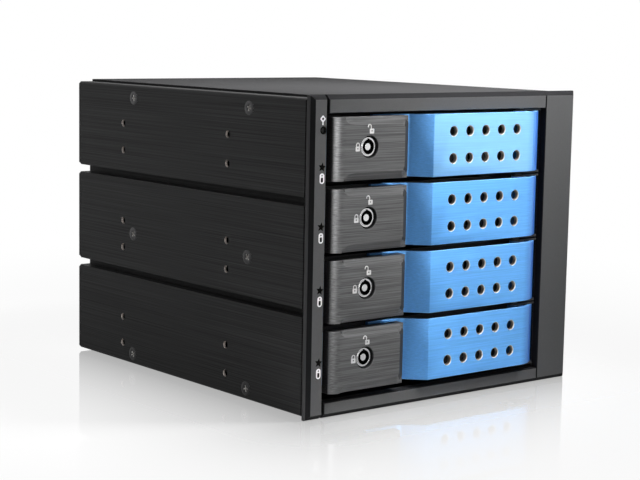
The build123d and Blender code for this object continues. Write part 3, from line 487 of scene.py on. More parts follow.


# materials

# each edge colour is painted along sharp edges as a highlight (darker on the black screws)
finishes = {
    "sidePaint": {"color": (0.032, 0.0322, 0.0326), "rough": 0.5, "specular": 0.05,
                  "grain": (260, 9, 2600), "grainShade": (0.6, 1.5), "depth": 0.5,
                  "edge": (0.05, 0.05, 0.052)},
    "coverSteel": {"color": (0.036, 0.036, 0.037), "rough": 0.75, "specular": 0.02,
                   "grain": (10, 2200, 260), "grainShade": (0.7, 1.35), "depth": 0.5,
                   "edge": (0.12, 0.12, 0.12)},
    "bezelMetal": {"color": (0.082, 0.0825, 0.084), "rough": 0.42, "metallic": 0.05, "specular": 0.08,
                   "speck": 3200, "speckShade": (0.92, 1.08), "depth": 0.25,
                   "edge": (0.20, 0.20, 0.205)},
    "handleBlue": {"color": (0.135, 0.42, 0.88), "rough": 0.3, "metallic": 0.28, "specular": 0.2,
                   "grain": (45, 900, 3400), "grainShade": (0.86, 1.14), "depth": 0.7,
                   "edge": (0.55, 0.8, 1.0)},
    "buttonMetal": {"color": (0.125, 0.1255, 0.127), "rough": 0.3, "metallic": 0.75, "specular": 0.1,
                    "grain": (30, 900, 2600), "grainShade": (0.6, 1.4), "depth": 1.0,
                    "edge": (0.26, 0.26, 0.265)},
    "lockChrome": {"color": (0.72, 0.72, 0.73), "rough": 0.16, "metallic": 1.0,
                   "speck": 1800, "speckShade": (0.95, 1.03), "depth": 0.1},
    "pinSteel": {"color": (0.55, 0.55, 0.54), "rough": 0.28, "metallic": 1.0,
                 "grain": (900, 900, 60), "grainShade": (0.85, 1.1), "depth": 0.2},
    "trayMetal": {"color": (0.02, 0.02, 0.021), "rough": 0.5, "specular": 0.25,
                  "speck": 2600, "speckShade": (0.9, 1.1), "depth": 0.3, "edge": (0.07, 0.07, 0.07)},
    "guidePlastic": {"color": (0.014, 0.014, 0.015), "rough": 0.55, "specular": 0.25,
                     "speck": 1900, "speckShade": (0.85, 1.15), "depth": 0.5},
    "guideSteel": {"color": (0.017, 0.017, 0.018), "rough": 0.5, "specular": 0.25,
                   "speck": 2300, "speckShade": (0.88, 1.12), "depth": 0.3},
    "boardGreen": {"color": (0.01, 0.10, 0.035), "rough": 0.3, "coat": 0.5,
                   "speck": 700, "speckShade": (0.85, 1.1), "depth": 0.15},
    "socketBlack": {"color": (0.012, 0.012, 0.013), "rough": 0.45, "specular": 0.3,
                    "speck": 2400, "speckShade": (0.9, 1.1), "depth": 0.3},
    "portWhite": {"color": (0.62, 0.61, 0.56), "rough": 0.5,
                  "speck": 1500, "speckShade": (0.95, 1.04), "depth": 0.3},
    "lensDark": {"color": (0.006, 0.006, 0.007), "rough": 0.3, "specular": 0.1,
                 "speck": 1500, "speckShade": (0.9, 1.1), "depth": 0.1},
    "screwBlack": {"color": (0.03, 0.03, 0.031), "rough": 0.3, "metallic": 0.5, "specular": 0.3,
                   "speck": 2600, "speckShade": (0.8, 1.3), "depth": 0.4, "edge": (0.006, 0.006, 0.006)},
    "fanPlastic": {"color": (0.016, 0.016, 0.017), "rough": 0.5, "specular": 0.3,
                   "speck": 1700, "speckShade": (0.88, 1.12), "depth": 0.5},
    "whitePrint": {"color": (0.80, 0.80, 0.80), "rough": 0.6, "specular": 0.3,
                   "speck": 5200, "speckShade": (0.94, 1.04), "depth": 0.2, "soften": 0.0},
    "greyPrint": {"color": (0.56, 0.56, 0.56), "rough": 0.6, "specular": 0.3,
                  "speck": 5200, "speckShade": (0.94, 1.04), "depth": 0.2, "soften": 0.0},
    "blackPrint": {"color": (0.002, 0.002, 0.002), "rough": 0.6, "specular": 0.02,
                   "speck": 5200, "speckShade": (0.8, 1.2), "depth": 0.2, "soften": 0.0},
}

bareMetal = {"color": (0.88, 0.81, 0.76, 1), "metallic": 0.85, "reach": 2.6}
handleHoles = {
    "firstX": -1.5, "stepX": 9.18, "columns": 5, "stepZ": 11.1, "radius": 2.0,
    "mouth": 2.25, "sunk": 0.25, "margin": 3.0,
}
keywayShade = {"deep": -89.35, "radius": 3.3}
bayHoles = {
    "bayMiddle": 15.565, "bayStep": 43.7, "halfPair": 5.965, "radius": 1.56, "depths": (-32.7, 46.54),
}
tones = {
    "squareOn": 0.97,  # a surface counts as square to an axis from here
    # painted shade for the deep keyway
    "keyway": (0.01, 0.01, 0.01, 1),
    "wornCross": (0.55, 0.54, 0.52, 1), "sideFace": 73.2,
    # painted shade for the handles' right ends and left slopes
    "deepBlue": (0.03, 0.13, 0.44, 1), "rightDeepening": 2.2, "leftDeepening": -0.24,
    # painted sheen: the top row's flat handle face is painted paler
    "paleBlue": (0.42, 0.72, 0.95, 1), "paleShare": 0.32, "paleRow": 1,
    # painted shade for the bezel's chamfers and outer side
    "bezelEdge": (0.015, 0.015, 0.016, 1), "bezelEdgeRough": 0.85,
    "bezelSide": (0.07, 0.07, 0.072, 1), "bezelSideX": -73.6,
    # painted shade for the button's right facet
    "buttonFacet": (0.035, 0.035, 0.036, 1), "facetTurn": 0.25,
}


def makeMaterial(name):
    finish = finishes[name]
    material = bpy.data.materials.new(name)
    material.use_nodes = True
    tree = material.node_tree
    shader = tree.nodes["Principled BSDF"]
    shader.inputs["Roughness"].default_value = finish["rough"]
    shader.inputs["Metallic"].default_value = finish.get("metallic", 0.0)
    shader.inputs["Specular IOR Level"].default_value = finish.get("specular", 0.5)
    shader.inputs["Coat Weight"].default_value = finish.get("coat", 0.0)
    texture = tree.nodes.new("ShaderNodeGroup")
    if "grain" in finish:
        texture.node_tree = grainGroup
        texture.inputs["Stretch"].default_value = finish["grain"]
        low, high = finish["grainShade"]
    else:
        texture.node_tree = speckGroup
        texture.inputs["Scale"].default_value = finish["speck"]
        low, high = finish["speckShade"]
    texture.inputs["Low"].default_value = low
    texture.inputs["High"].default_value = high
    texture.inputs["Depth"].default_value = finish["depth"]
    texture.inputs["Soften"].default_value = finish.get("soften", effects["softEdge"])
    tint = tree.nodes.new("ShaderNodeVectorMath")
    tint.operation = "SCALE"
    tint.inputs[0].default_value = finish["color"]
    tree.links.new(texture.outputs["Shade"], tint.inputs["Scale"])
    tree.links.new(texture.outputs["Normal"], shader.inputs["Normal"])
    last = tint.outputs[0]
    # painted highlight: sharp edges take the finish's edge colour, lighter than the face (darker on the black
    # screws)
    if "edge" in finish:
        edgeGlint = tree.nodes.new("ShaderNodeGroup")
        edgeGlint.node_tree = edgeHighlightGroup
        edgeGlint.inputs["Width"].default_value = effects["rubWidth"]
        edgeGlint.inputs["Amount"].default_value = effects["rubAmount"]
        last = blendColor(tree, edgeGlint.outputs["Mask"], last, finish["edge"] + (1,))
    tree.links.new(last, shader.inputs["Base Color"])
    return material


def blendColor(tree, mask, first, color):
    mix = tree.nodes.new("ShaderNodeMix")
    mix.data_type = "RGBA"
    mix.inputs["B"].default_value = color
    tree.links.new(mask, mix.inputs["Factor"])
    tree.links.new(first, mix.inputs["A"])
    return mix.outputs["Result"]


def splitPlace(tree, x, y, z):  # the point on the piece, measured from this place
    split = tree.nodes.new("ShaderNodeSeparateXYZ")
    tree.links.new(vectorNode(tree, "SUBTRACT", ownPlace(tree), (x * mm, y * mm, z * mm)), split.inputs[0])
    return split.outputs


def wrapped(tree, value, step):  # the same value counted from the nearest of evenly spaced marks
    return mathNode(tree, "WRAP", value, step * mm / 2, -step * mm / 2)


def within(tree, across, along, radius):  # 1 inside this distance
    both = tree.nodes.new("ShaderNodeCombineXYZ")
    fillInputs(tree, both, (across, along))
    return mathNode(tree, "LESS_THAN", vectorNode(tree, "LENGTH", both.outputs[0]), radius * mm)


def ownNormal(tree, axis):  # the part of the piece's own normal along this axis
    place = tree.nodes.new("ShaderNodeTexCoord")
    turned = tree.nodes.new("ShaderNodeSeparateXYZ")
    tree.links.new(place.outputs["Normal"], turned.inputs[0])
    return turned.outputs[axis]


def notFacing(tree, axis):  # 1 where the surface isn't square to this axis, as in a hole's wall
    facing = mathNode(tree, "ABSOLUTE", ownNormal(tree, axis), 0)
    return mathNode(tree, "LESS_THAN", facing, tones["squareOn"])


def blendValue(material, mask, name, value):  # one of the shader's numbers, another where the mask is 1
    tree = material.node_tree
    socket = tree.nodes["Principled BSDF"].inputs[name]
    tree.links.new(rangeNode(tree, mask, 0, 1, socket.default_value, value), socket)


def recolor(material, mask, color):
    tree = material.node_tree
    shader = tree.nodes["Principled BSDF"]
    old = shader.inputs["Base Color"].links[0].from_socket
    tree.links.new(blendColor(tree, mask, old, color), shader.inputs["Base Color"])


def showBareMetal(material, mask):
    recolor(material, mask, bareMetal["color"])
    blendValue(material, mask, "Metallic", bareMetal["metallic"])


def bareHandleHoles(material, row):  # drilled after the blue finish, so bright metal shows in them
    tree = material.node_tree
    x, _, z = splitPlace(tree, handleHoles["firstX"], 0, rowHeights[row] - handleHoles["stepZ"] / 2)
    near = within(tree, wrapped(tree, x, handleHoles["stepX"]), wrapped(tree, z, handleHoles["stepZ"]),
                  bareMetal["reach"])
    mask = mathNode(tree, "MULTIPLY", near, notFacing(tree, "Y"))
    mask = mathNode(tree, "MULTIPLY", mask, mathNode(tree, "GREATER_THAN", x, -handleHoles["margin"] * mm))
    last = handleHoles["stepX"] * (handleHoles["columns"] - 1) + handleHoles["margin"]
    mask = mathNode(tree, "MULTIPLY", mask, mathNode(tree, "LESS_THAN", x, last * mm))
    showBareMetal(material, mask)


def brightRecess(material):  # the walls of the cross recess are painted light grey
    tree = material.node_tree
    x = splitPlace(tree, 0, 0, 0)[0]
    sunk = mathNode(tree, "LESS_THAN", mathNode(tree, "ABSOLUTE", x, 0), tones["sideFace"] * mm)
    recolor(material, mathNode(tree, "MULTIPLY", sunk, notFacing(tree, "X")), tones["wornCross"])


def shadeEnds(material):  # painted shade: the rounded right end and the left slope are painted a darker blue
    tree = material.node_tree
    across = ownNormal(tree, "X")
    right = mathNode(tree, "MULTIPLY", across, tones["rightDeepening"])
    left = mathNode(tree, "MULTIPLY", across, tones["leftDeepening"])
    recolor(material, mathNode(tree, "MAXIMUM", right, left), tones["deepBlue"])


def bareBayHoles(material):  # threads cut after painting
    tree = material.node_tree
    masks = []
    for depth in bayHoles["depths"]:
        _, y, z = splitPlace(tree, 0, depth, bayHoles["bayMiddle"])
        fromPair = mathNode(tree, "ABSOLUTE", wrapped(tree, z, bayHoles["bayStep"]), 0)
        fromHole = mathNode(tree, "SUBTRACT", fromPair, bayHoles["halfPair"] * mm)
        masks.append(within(tree, y, fromHole, bayHoles["radius"]))
    mask = mathNode(tree, "MULTIPLY", mathNode(tree, "MAXIMUM", *masks), notFacing(tree, "X"))
    showBareMetal(material, mask)


def shadeKeyway(material):  # painted shade: the ring keyway is deep, so it is painted near black
    tree = material.node_tree
    x, y, z = splitPlace(tree, lockAxis[0], keywayShade["deep"], rowHeights[4] + lockAxis[1])
    near = within(tree, x, wrapped(tree, z, rowHeights[3] - rowHeights[4]), keywayShade["radius"])
    recolor(material, mathNode(tree, "MULTIPLY", near, mathNode(tree, "GREATER_THAN", y, 0)), tones["keyway"])


def shadeBezel(material):  # painted shade: chamfers are painted dark, and the outer side a shade between them and the front
    tree = material.node_tree
    shadedChamfers = notFacing(tree, "Y")
    recolor(material, shadedChamfers, tones["bezelEdge"])
    blendValue(material, shadedChamfers, "Roughness", tones["bezelEdgeRough"])
    outer = mathNode(tree, "LESS_THAN", splitPlace(tree, tones["bezelSideX"], 0, 0)[0], 0)
    recolor(material, outer, tones["bezelSide"])


def shadeButton(material):  # painted shade: the facet that looks right is painted darker
    tree = material.node_tree
    facet = mathNode(tree, "GREATER_THAN", ownNormal(tree, "X"), tones["facetTurn"])
    recolor(material, facet, tones["buttonFacet"])


# painted sheen: the flat front is painted a paler blue, as if lit more
def paintSheenOnFlat(material):
    tree = material.node_tree
    flat = mathNode(tree, "SUBTRACT", 1.0, notFacing(tree, "Y"))
    recolor(material, mathNode(tree, "MULTIPLY", flat, tones["paleShare"]), tones["paleBlue"])


def copyMaterial(name, newName):
    material = materials[name].copy()
    material.name = newName
    return material


materials = {name: makeMaterial(name) for name in finishes}
shadeKeyway(materials["lockChrome"])
shadeBezel(materials["bezelMetal"])
shadeButton(materials["buttonMetal"])
materials["sideScrewBlack"] = copyMaterial("screwBlack", "sideScrewBlack")
brightRecess(materials["sideScrewBlack"])
materials["drilledSide"] = copyMaterial("sidePaint", "drilledSide")
bareBayHoles(materials["drilledSide"])
# one copy per row, so the top row can carry the painted sheen and each row its own holes
handleBlues = {row: copyMaterial("handleBlue", f"handleBlueRow{row}") for row in rowNumbers}
for row, material in handleBlues.items():
    if row == tones["paleRow"]:
        paintSheenOnFlat(material)
    shadeEnds(material)
    bareHandleHoles(material, row)
print("materials made")

finishOfNode = {
    "side_panel_left": "drilledSide", "side_panel_right": "drilledSide", "front_frame": "sidePaint",
    "rear_panel": "sidePaint", "bottom_plate": "coverSteel", "top_cover": "coverSteel",
    "bezel_left_column": "bezelMetal", "bezel_right_column": "bezelMetal", "bezel_top_bar": "bezelMetal",
    "bezel_bottom_bar": "bezelMetal", "led_board": "boardGreen", "led_lenses": "lensDark",
    "guide_wall_left": "guideSteel", "guide_wall_right": "guideSteel", "guide_rails": "guidePlastic",
    "guide_spacers": "guidePlastic", "backplane": "boardGreen", "drive_sockets": "socketBlack",
    "data_ports": "socketBlack", "power_ports": "portWhite", "alarm_buzzer": "socketBlack",
    "board_screws": "pinSteel", "fan_frame": "fanPlastic", "fan_rotor": "fanPlastic",
    "fan_screws": "screwBlack", "side_screws": "screwBlack", "reset_button": "guidePlastic",
}
finishOfRowNode = {
    "tray": "trayMetal", "tray_front": "trayMetal", "hinge_pin": "pinSteel", "latch_button": "buttonMetal",
    "latch_hook": "pinSteel", "lock_cylinder": "lockChrome", "lock_cam": "pinSteel",
}


def paintNodes():
    chosen = dict(finishOfNode)
    for row in rowNumbers:
        for base, finish in finishOfRowNode.items():
            chosen[f"{base}_{row}"] = finish
    for name, piece in nodes.items():
        piece.data.materials.clear()
        if name.startswith("handle_"):
            piece.data.materials.append(handleBlues[int(name[-1])])
        else:
            piece.data.materials.append(materials[chosen[name]])


paintNodes()
print("nodes painted")


# handles: one bent sheet with a hinge barrel behind its right end, notched and drilled

handle = {
    "front": -90.7, "height": 25.5, "wall": 1.8,
    "flat": (-12.4, 42.0),
    "slope": (-8.8, 8.6),
    "leftEnd": -63.0,
    "footRound": 2.44, "footSteps": 8,
    "curve": (14.6, 47), "curveSteps": 14,  # radius and degrees
    "edge": 0.22,
    "hinge": (43.5, -84.3), "barrel": 3.0, "bore": 1.55, "barrelGap": 0.05,
    "web": 3.0, "webSunk": 0.9,
    "lockHole": 5.0,
    "stemSlot": ((-60.65, -57.35), 3.4),
    "notch": (-38.0, 2.2),
}


def bendHandleSheet():
    left, right = handle["flat"]
    front = handle["front"]
    tall = handle["height"]
    bpy.ops.mesh.primitive_plane_add(
        size=mm, location=((left + right) / 2 * mm, front * mm, 0), rotation=(quarterTurn, 0, 0))
    sheet = startPiece("handleMaster", (right - left, tall, 1))
    radius, degrees = handle["curve"]
    selectEdges(sheet, lambda a, b: min(a.x, b.x) > right * mm - tiny)
    bpy.ops.mesh.spin(steps=handle["curveSteps"], angle=-math.radians(degrees),
                      center=(right * mm, (front + radius) * mm, 0), axis=(0, 0, 1))
    leaveEdit()
    selectEdges(sheet, lambda a, b: max(a.x, b.x) < left * mm + tiny)
    extrudeBy(handle["slope"][0], handle["slope"][1], 0)
    extrudeBy(handle["leftEnd"] - left - handle["slope"][0], 0, 0)
    leaveEdit()
    foot = left + handle["slope"][0]
    selectEdges(sheet, lambda a, b: abs(a.x - foot * mm) < tiny and abs(b.x - foot * mm) < tiny)
    bpy.ops.mesh.bevel(offset=handle["footRound"] * mm, segments=handle["footSteps"], affect="EDGES")
    leaveEdit()
    if sheet.data.polygons[0].normal.y > 0:
        sheet.data.flip_normals()
    addModifier(sheet, "SOLIDIFY", thickness=handle["wall"] * mm, offset=-1, use_even_offset=True)
    roundEdges(sheet, handle["edge"])
    return sheet


def addHandleHinge(sheet):
    x, y = handle["hinge"]
    half = handle["height"] / 2 - handle["barrelGap"]
    webX = (x - handle["web"] / 2, x + handle["web"] / 2)
    fuseWith(sheet, block("handleWeb", webX, (handle["front"] + handle["webSunk"], y), (-half, half)))
    bpy.ops.mesh.primitive_cylinder_add(vertices=40, radius=handle["barrel"] * mm, depth=2 * half * mm,
                                        location=(x * mm, y * mm, 0))
    fuseWith(sheet, startPiece("handleBarrel"))
    bpy.ops.mesh.primitive_cylinder_add(vertices=32, radius=handle["bore"] * mm, depth=3 * half * mm,
                                        location=(x * mm, y * mm, 0))
    cutWith(sheet, startPiece("handleBore"))


def drillHandle(sheet):
    front = handle["front"]
    drill = roundAlongY("handleDrill", handleHoles["firstX"], handleHoles["stepZ"] / 2, handleHoles["radius"],
                        (front + handleHoles["sunk"], front + 3))
    selectFaces(drill, looksFront)
    extrudeBy(0, -handleHoles["sunk"], 0)
    wider = handleHoles["mouth"] / handleHoles["radius"]
    middle = (handleHoles["firstX"] * mm, front * mm, handleHoles["stepZ"] / 2 * mm)
    bpy.ops.transform.resize(value=(wider, 1, wider), center_override=middle)
    extrudeBy(0, -1, 0)
    leaveEdit()
    drills = [drill]
    for column in range(handleHoles["columns"]):
        for lower in (0, 1):
            if column or lower:
                across, down = column * handleHoles["stepX"], lower * handleHoles["stepZ"]
                move = Matrix.Translation((across * mm, 0, -down * mm))
                drills.append(copyPiece(drill, "handleDrill", move))
    cutWith(sheet, joinPieces(drills, "handleDrills"))


def notchHandle(sheet):
    plate = (handle["front"] + handle["slope"][1] - 1, handle["front"] + handle["slope"][1] + 3)
    half = handle["height"] / 2
    right, deep = handle["notch"]
    for z in ((half - deep, half + 1), (-half - 1, deep - half)):
        cutWith(sheet, block("handleNotch", (handle["leftEnd"] - 1, right), plate, z))
    cutWith(sheet, roundAlongY("handleLockHole", *lockAxis, handle["lockHole"], plate))
    slotX, slotZ = handle["stemSlot"]
    cutWith(sheet, block("handleStemSlot", slotX, plate, (-slotZ, slotZ)))


def makeHandles():
    sheet = bendHandleSheet()
    addHandleHinge(sheet)
    notchHandle(sheet)
    drillHandle(sheet)
    for row in rowNumbers:
        piece = copyPiece(sheet, f"blueHandle{row}", Matrix.Translation((0, 0, rowHeights[row] * mm)))
        smooth(piece, 20)
        finishPiece(piece, handleBlues[row], "handle_blue", f"handle_body_{row}", f"handle_{row}")
    bpy.data.objects.remove(sheet)


makeHandles()
print("handles made")


# latch buttons: the solid's own shape with its corners broken and its left end smooth

button = {"edge": 0.16, "crease": 15, "weld": 0.002, "flatWithin": 1}


def makeButtons():
    for row in rowNumbers:
        piece = copyPiece(nodes[f"latch_button_{row}"], f"greyButton{row}", Matrix())
        selectEverything(piece)
        bpy.ops.mesh.remove_doubles(threshold=button["weld"] * mm)
        bpy.ops.mesh.dissolve_limited(angle_limit=math.radians(button["flatWithin"]))
        leaveEdit()
        roundEdges(piece, button["edge"], button["crease"])
        smooth(piece, button["crease"])
        finishPiece(piece, materials["buttonMetal"], "button_metal",
                    f"button_body_{row}", f"latch_button_{row}")


makeButtons()
print("buttons made")


# key locks: bright barrel with a ring keyway, set back in a near-black sleeve that stands for the shadow
# round it

lock = {
    "sleeve": 4.4, "sleeveFront": -88.6, "sleeveGrip": 0.1,
    "barrel": 3.75, "barrelFront": -89.5, "barrelEdge": 0.5,
    "rimRise": 0.25, "rimWidth": 0.3, "faceSunk": 0.35,
    "back": -77.9,
    "keyway": (1.4, 2.95), "keywayDepth": 2.4,
    "notch": (1.1, 3.3),
    "tail": 2.0, "tailEnd": -75.9,
    "edge": 0.1,
}


def makeLockBarrel():
    x, z = lockAxis
    barrel = roundAlongY("lockMaster", x, z, lock["barrel"], (lock["barrelFront"], lock["back"]), 64)
    selectFaces(barrel, looksFront)
    bpy.ops.mesh.inset(thickness=lock["barrelEdge"] * mm)
    extrudeBy(0, -lock["rimRise"], 0)
    bpy.ops.mesh.inset(thickness=lock["rimWidth"] * mm)
    extrudeBy(0, lock["faceSunk"], 0)
    leaveEdit()
    inner, outer = lock["keyway"]
    depth = (lock["barrelFront"] - 1, lock["barrelFront"] + lock["keywayDepth"])
    ring = roundAlongY("lockKeyway", x, z, outer, depth, 48)
    cutWith(ring, roundAlongY("lockPost", x, z, inner, (depth[0] - 1, lock["barrelFront"] + 5), 32))
    cutWith(barrel, ring)
    wide, high = lock["notch"]
    cutWith(barrel, block("lockNotch", (x - wide / 2, x + wide / 2), depth, (z + inner, z + high)))
    fuseWith(barrel, roundAlongY("lockTail", x, z, lock["tail"], (lock["back"] - 1, lock["tailEnd"]), 24))
    roundEdges(barrel, lock["edge"])
    return barrel


def makeLockShadowSleeve():
    x, z = lockAxis
    sleeve = roundAlongY("shadowSleeveMaster", x, z, lock["sleeve"], (lock["sleeveFront"], lock["back"]), 64)
    bore = lock["barrel"] - lock["sleeveGrip"]
    cutWith(sleeve, roundAlongY("sleeveBore", x, z, bore, (lock["sleeveFront"] - 1, lock["back"] + 1), 64))
    roundEdges(sleeve, lock["edge"])
    return sleeve


def makeLocks():
    barrel = makeLockBarrel()
    sleeve = makeLockShadowSleeve()
    for row in rowNumbers:
        lift = Matrix.Translation((0, 0, rowHeights[row] * mm))
        piece = copyPiece(barrel, f"lockBarrel{row}", lift)
        smooth(piece)
        finishPiece(piece, materials["lockChrome"], "lock_chrome", f"lock_body_{row}", f"lock_cylinder_{row}")
        # painted shade: the sleeve is near black to stand for the shadow round the barrel
        piece = copyPiece(sleeve, f"lockSleeve{row}", lift)
        smooth(piece)
        finishPiece(piece, materials["blackPrint"], "screw_black", f"lock_body_{row}")
    bpy.data.objects.remove(barrel)
    bpy.data.objects.remove(sleeve)


makeLocks()
print("locks made")


# printed marks: padlocks beside each lock, lights' marks on the left column, and a black ring of painted
# shade round the reset button

padlock = {
    "face": -90.7, "proud": 0.02, "thick": 0.12,
    "open": (-45.7, 7.5), "closed": (-52.8, 0.7),
    "body": (2.3, 1.9), "bodyDrop": 0.7, "corner": 0.3,
    "keyhole": 0.33, "keyholeDrop": 0.6,
    "stroke": 0.4, "bow": 0.76, "bowSteps": 12, "leg": 0.55,
    "openLift": 0.35, "openShift": 0.3,  # an open bow sits higher and to the left
}
columnMarks = {
    "face": -88.2, "proud": 0.02, "thick": 0.12, "x": -68.5,
    "ringHeight": 118.2, "ring": 1.5, "ringCorner": 0.45, "ringStroke": 0.62, "middleSunk": 0.01,
    "stem": (0.6, 1.1), "stemOverlap": 0.25,
    "window": (2.3, 4.1), "windowHeights": (95.2, 72.0, 47.1, 18.5), "windowFlat": 0.05,
    "dot": 0.32, "dotUp": 1.15, "slot": (1.1, 1.9), "slotDown": 0.55, "slotCorner": 0.35,
    "star": (1.95, 0.48), "starHeights": (99.6, 76.4, 51.5, 22.9), "starTurn": 8,
    "resetHeight": 113.8, "resetRing": (1.55, 1.0), "resetShift": 0.25,
}


def flatMark(name, x, z, width, height, face):
    bpy.ops.mesh.primitive_plane_add(
        size=mm, location=(x * mm, face * mm, z * mm), rotation=(quarterTurn, 0, 0))
    return startPiece(name, (width, height, 1))


def roundCorners(piece, radius, segments=4):
    selectEverything(piece)
    bpy.ops.mesh.bevel(offset=radius * mm, segments=segments, affect="VERTICES")
    leaveEdit()


def thicken(piece, mark):  # from just proud of the surface to a little way under it
    if piece.data.polygons[0].normal.y > 0:
        piece.data.flip_normals()
    addModifier(piece, "SOLIDIFY", thickness=mark["thick"] * mm, offset=-1)


def makePadlock(name, place, isOpen):
    x, z = place
    face = padlock["face"] - padlock["proud"]
    wide, high = padlock["body"]
    body = flatMark(name, x, z - padlock["bodyDrop"], wide, high, face)
    roundCorners(body, padlock["corner"])
    thicken(body, padlock)
    keyhole = (x, z - padlock["keyholeDrop"], padlock["keyhole"])
    cutWith(body, roundAlongY("keyhole", *keyhole, (face - 1, face + 1), 16))
    top = z - padlock["bodyDrop"] + high / 2
    bow = padlock["bow"]
    middle = x - 2 * bow + padlock["openShift"] if isOpen else x
    leg = padlock["leg"] + (padlock["openLift"] if isOpen else 0)
    shackle = flatMark(name + "Bow", middle + bow, top + leg / 2, padlock["stroke"], leg, face)
    selectEdges(shackle, lambda a, b: min(a.z, b.z) > (top + leg) * mm - tiny)
    bpy.ops.mesh.spin(steps=padlock["bowSteps"], angle=-math.pi,
                      center=(middle * mm, face * mm, (top + leg) * mm), axis=(0, -1, 0))
    extrudeBy(0, 0, -padlock["openLift"] if isOpen else -leg)
    leaveEdit()
    thicken(shackle, padlock)
    return joinPieces([body, shackle], name)


def makePadlocks():
    masters = [makePadlock("padlockOpen", padlock["open"], True),
               makePadlock("padlockClosed", padlock["closed"], False)]
    for row in rowNumbers:
        for master in masters:
            piece = copyPiece(master, f"{master.name}{row}", Matrix.Translation((0, 0, rowHeights[row] * mm)))
            finishPiece(piece, materials["greyPrint"], "button_metal", f"button_body_{row}")
    for master in masters:
        bpy.data.objects.remove(master)


def makePowerMark():
    face = columnMarks["face"] - columnMarks["proud"]
    x, z = columnMarks["x"], columnMarks["ringHeight"]
    bpy.ops.mesh.primitive_circle_add(vertices=4, radius=columnMarks["ring"] * mm, fill_type="NGON",
                                      location=(x * mm, face * mm, z * mm), rotation=(quarterTurn, 0, 0))
    ring = startPiece("powerMark")
    roundCorners(ring, columnMarks["ringCorner"])
    dark = copyPiece(ring, "powerMarkMiddle", Matrix.Translation((0, columnMarks["middleSunk"] * mm, 0)))
    thicken(dark, columnMarks)
    selectEverything(ring)
    bpy.ops.mesh.inset(thickness=columnMarks["ringStroke"] * mm)
    bpy.ops.mesh.delete(type="FACE")
    leaveEdit()
    thicken(ring, columnMarks)
    wide, high = columnMarks["stem"]
    stemZ = z - columnMarks["ring"] - high / 2 + columnMarks["stemOverlap"]
    stem = flatMark("powerMarkStem", x, stemZ, wide, high, face)
    thicken(stem, columnMarks)
    finishPiece(joinPieces([ring, stem], "powerMark"), materials["whitePrint"], "bezel_metal", "cage")
    finishPiece(dark, materials["blackPrint"], "bezel_metal", "cage")


def makeDriveMarks():
    face = columnMarks["face"] - columnMarks["proud"]
    wide, high = columnMarks["window"]
    slotWide, slotHigh = columnMarks["slot"]
    x = columnMarks["x"]
    for row, z in zip(rowNumbers, columnMarks["windowHeights"]):
        mark = flatMark(f"driveMark{row}", x, z, wide, high, face)
        roundCorners(mark, wide / 2 - columnMarks["windowFlat"], 6)
        thicken(mark, columnMarks)
        dotPlace = (x, z + columnMarks["dotUp"], columnMarks["dot"])
        cutWith(mark, roundAlongY("driveDot", *dotPlace, (face - 1, face + 1), 16))
        slotHole = flatMark("driveSlot", x, z - columnMarks["slotDown"], slotWide, slotHigh, face - 1)
        roundCorners(slotHole, columnMarks["slotCorner"])
        if slotHole.data.polygons[0].normal.y > 0:
            slotHole.data.flip_normals()
        addModifier(slotHole, "SOLIDIFY", thickness=2 * mm, offset=-1)
        cutWith(mark, slotHole)
        finishPiece(mark, materials["whitePrint"], "bezel_metal", "cage")


def makeStars():  # five-pointed black stars over the lights
    face = columnMarks["face"] - columnMarks["proud"]
    reach, waist = columnMarks["star"]
    for row, z in zip(rowNumbers, columnMarks["starHeights"]):
        middle = (columnMarks["x"] * mm, face * mm, z * mm)
        bpy.ops.mesh.primitive_circle_add(vertices=10, radius=reach * mm, fill_type="NGON", location=middle,
                                          rotation=(quarterTurn, math.radians(columnMarks["starTurn"]), 0))
        star = startPiece(f"starMark{row}")
        enterEdit(star, "VERT")
        for number, point in enumerate(star.data.vertices):
            point.select = number % 2 == 1
        bpy.ops.object.mode_set(mode="EDIT")
        bpy.ops.transform.resize(value=(waist, waist, waist), center_override=middle)
        leaveEdit()
        thicken(star, columnMarks)
        finishPiece(star, materials["blackPrint"], "bezel_metal", "cage")


def makeResetShadowRing():  # painted shade: a black ring round the reset button stands for the shadow in its mouth
    face = columnMarks["face"] - columnMarks["proud"]
    outer, inner = columnMarks["resetRing"]
    x, z = columnMarks["x"] + columnMarks["resetShift"], columnMarks["resetHeight"]
    ring = roundAlongY("resetShadowRing", x, z, outer, (face, face + columnMarks["thick"]), 40)
    cutWith(ring, roundAlongY("resetShadowRingHole", x, z, inner, (face - 1, face + 1), 40))
    finishPiece(ring, materials["blackPrint"], "bezel_metal", "cage")


makePadlocks()
makePowerMark()
makeDriveMarks()
makeStars()
makeResetShadowRing()
print("marks made")


# screws with a cross recess

sideScrew = {
    "side": 73.3, "head": 2.98, "shank": 1.5, "depth": 1.5, "length": 3.5,
    "recess": (3.3, 0.72, 1.1), "edge": 0.07,
    "turns": (12, 40, 71, 25, 58, 5),
    "depths": (-47.0, 38.4), "heights": (5.6, 60.0, 120.4),
}
fanScrew = {
    "back": 110.0, "head": 3.8, "rise": 2.2, "dome": 0.9, "domeSteps": 5, "shank": 2.0, "length": 8.0,
    "recess": (4.2, 0.9, 1.3),
    "middle": (24.0, 63.5), "spacing": 71.5, "turns": (20, 65, 38, 8),
}


crossNarrowing = 0.55


def cutCross(screw, recess, top):  # a cross that narrows as it goes down, cut from the head's top along -Z
    wide, thick, deep = recess
    bottom = top - deep
    for size in ((wide, thick), (thick, wide)):
        across, along = [(-length / 2, length / 2) for length in size]
        cutter = block("crossCutter", across, along, (bottom, top + 0.5))
        selectFaces(cutter, looksDown)
        bpy.ops.transform.resize(value=(crossNarrowing, crossNarrowing, 1),
                                 center_override=(0, 0, bottom * mm))
        leaveEdit()
        cutWith(screw, cutter)


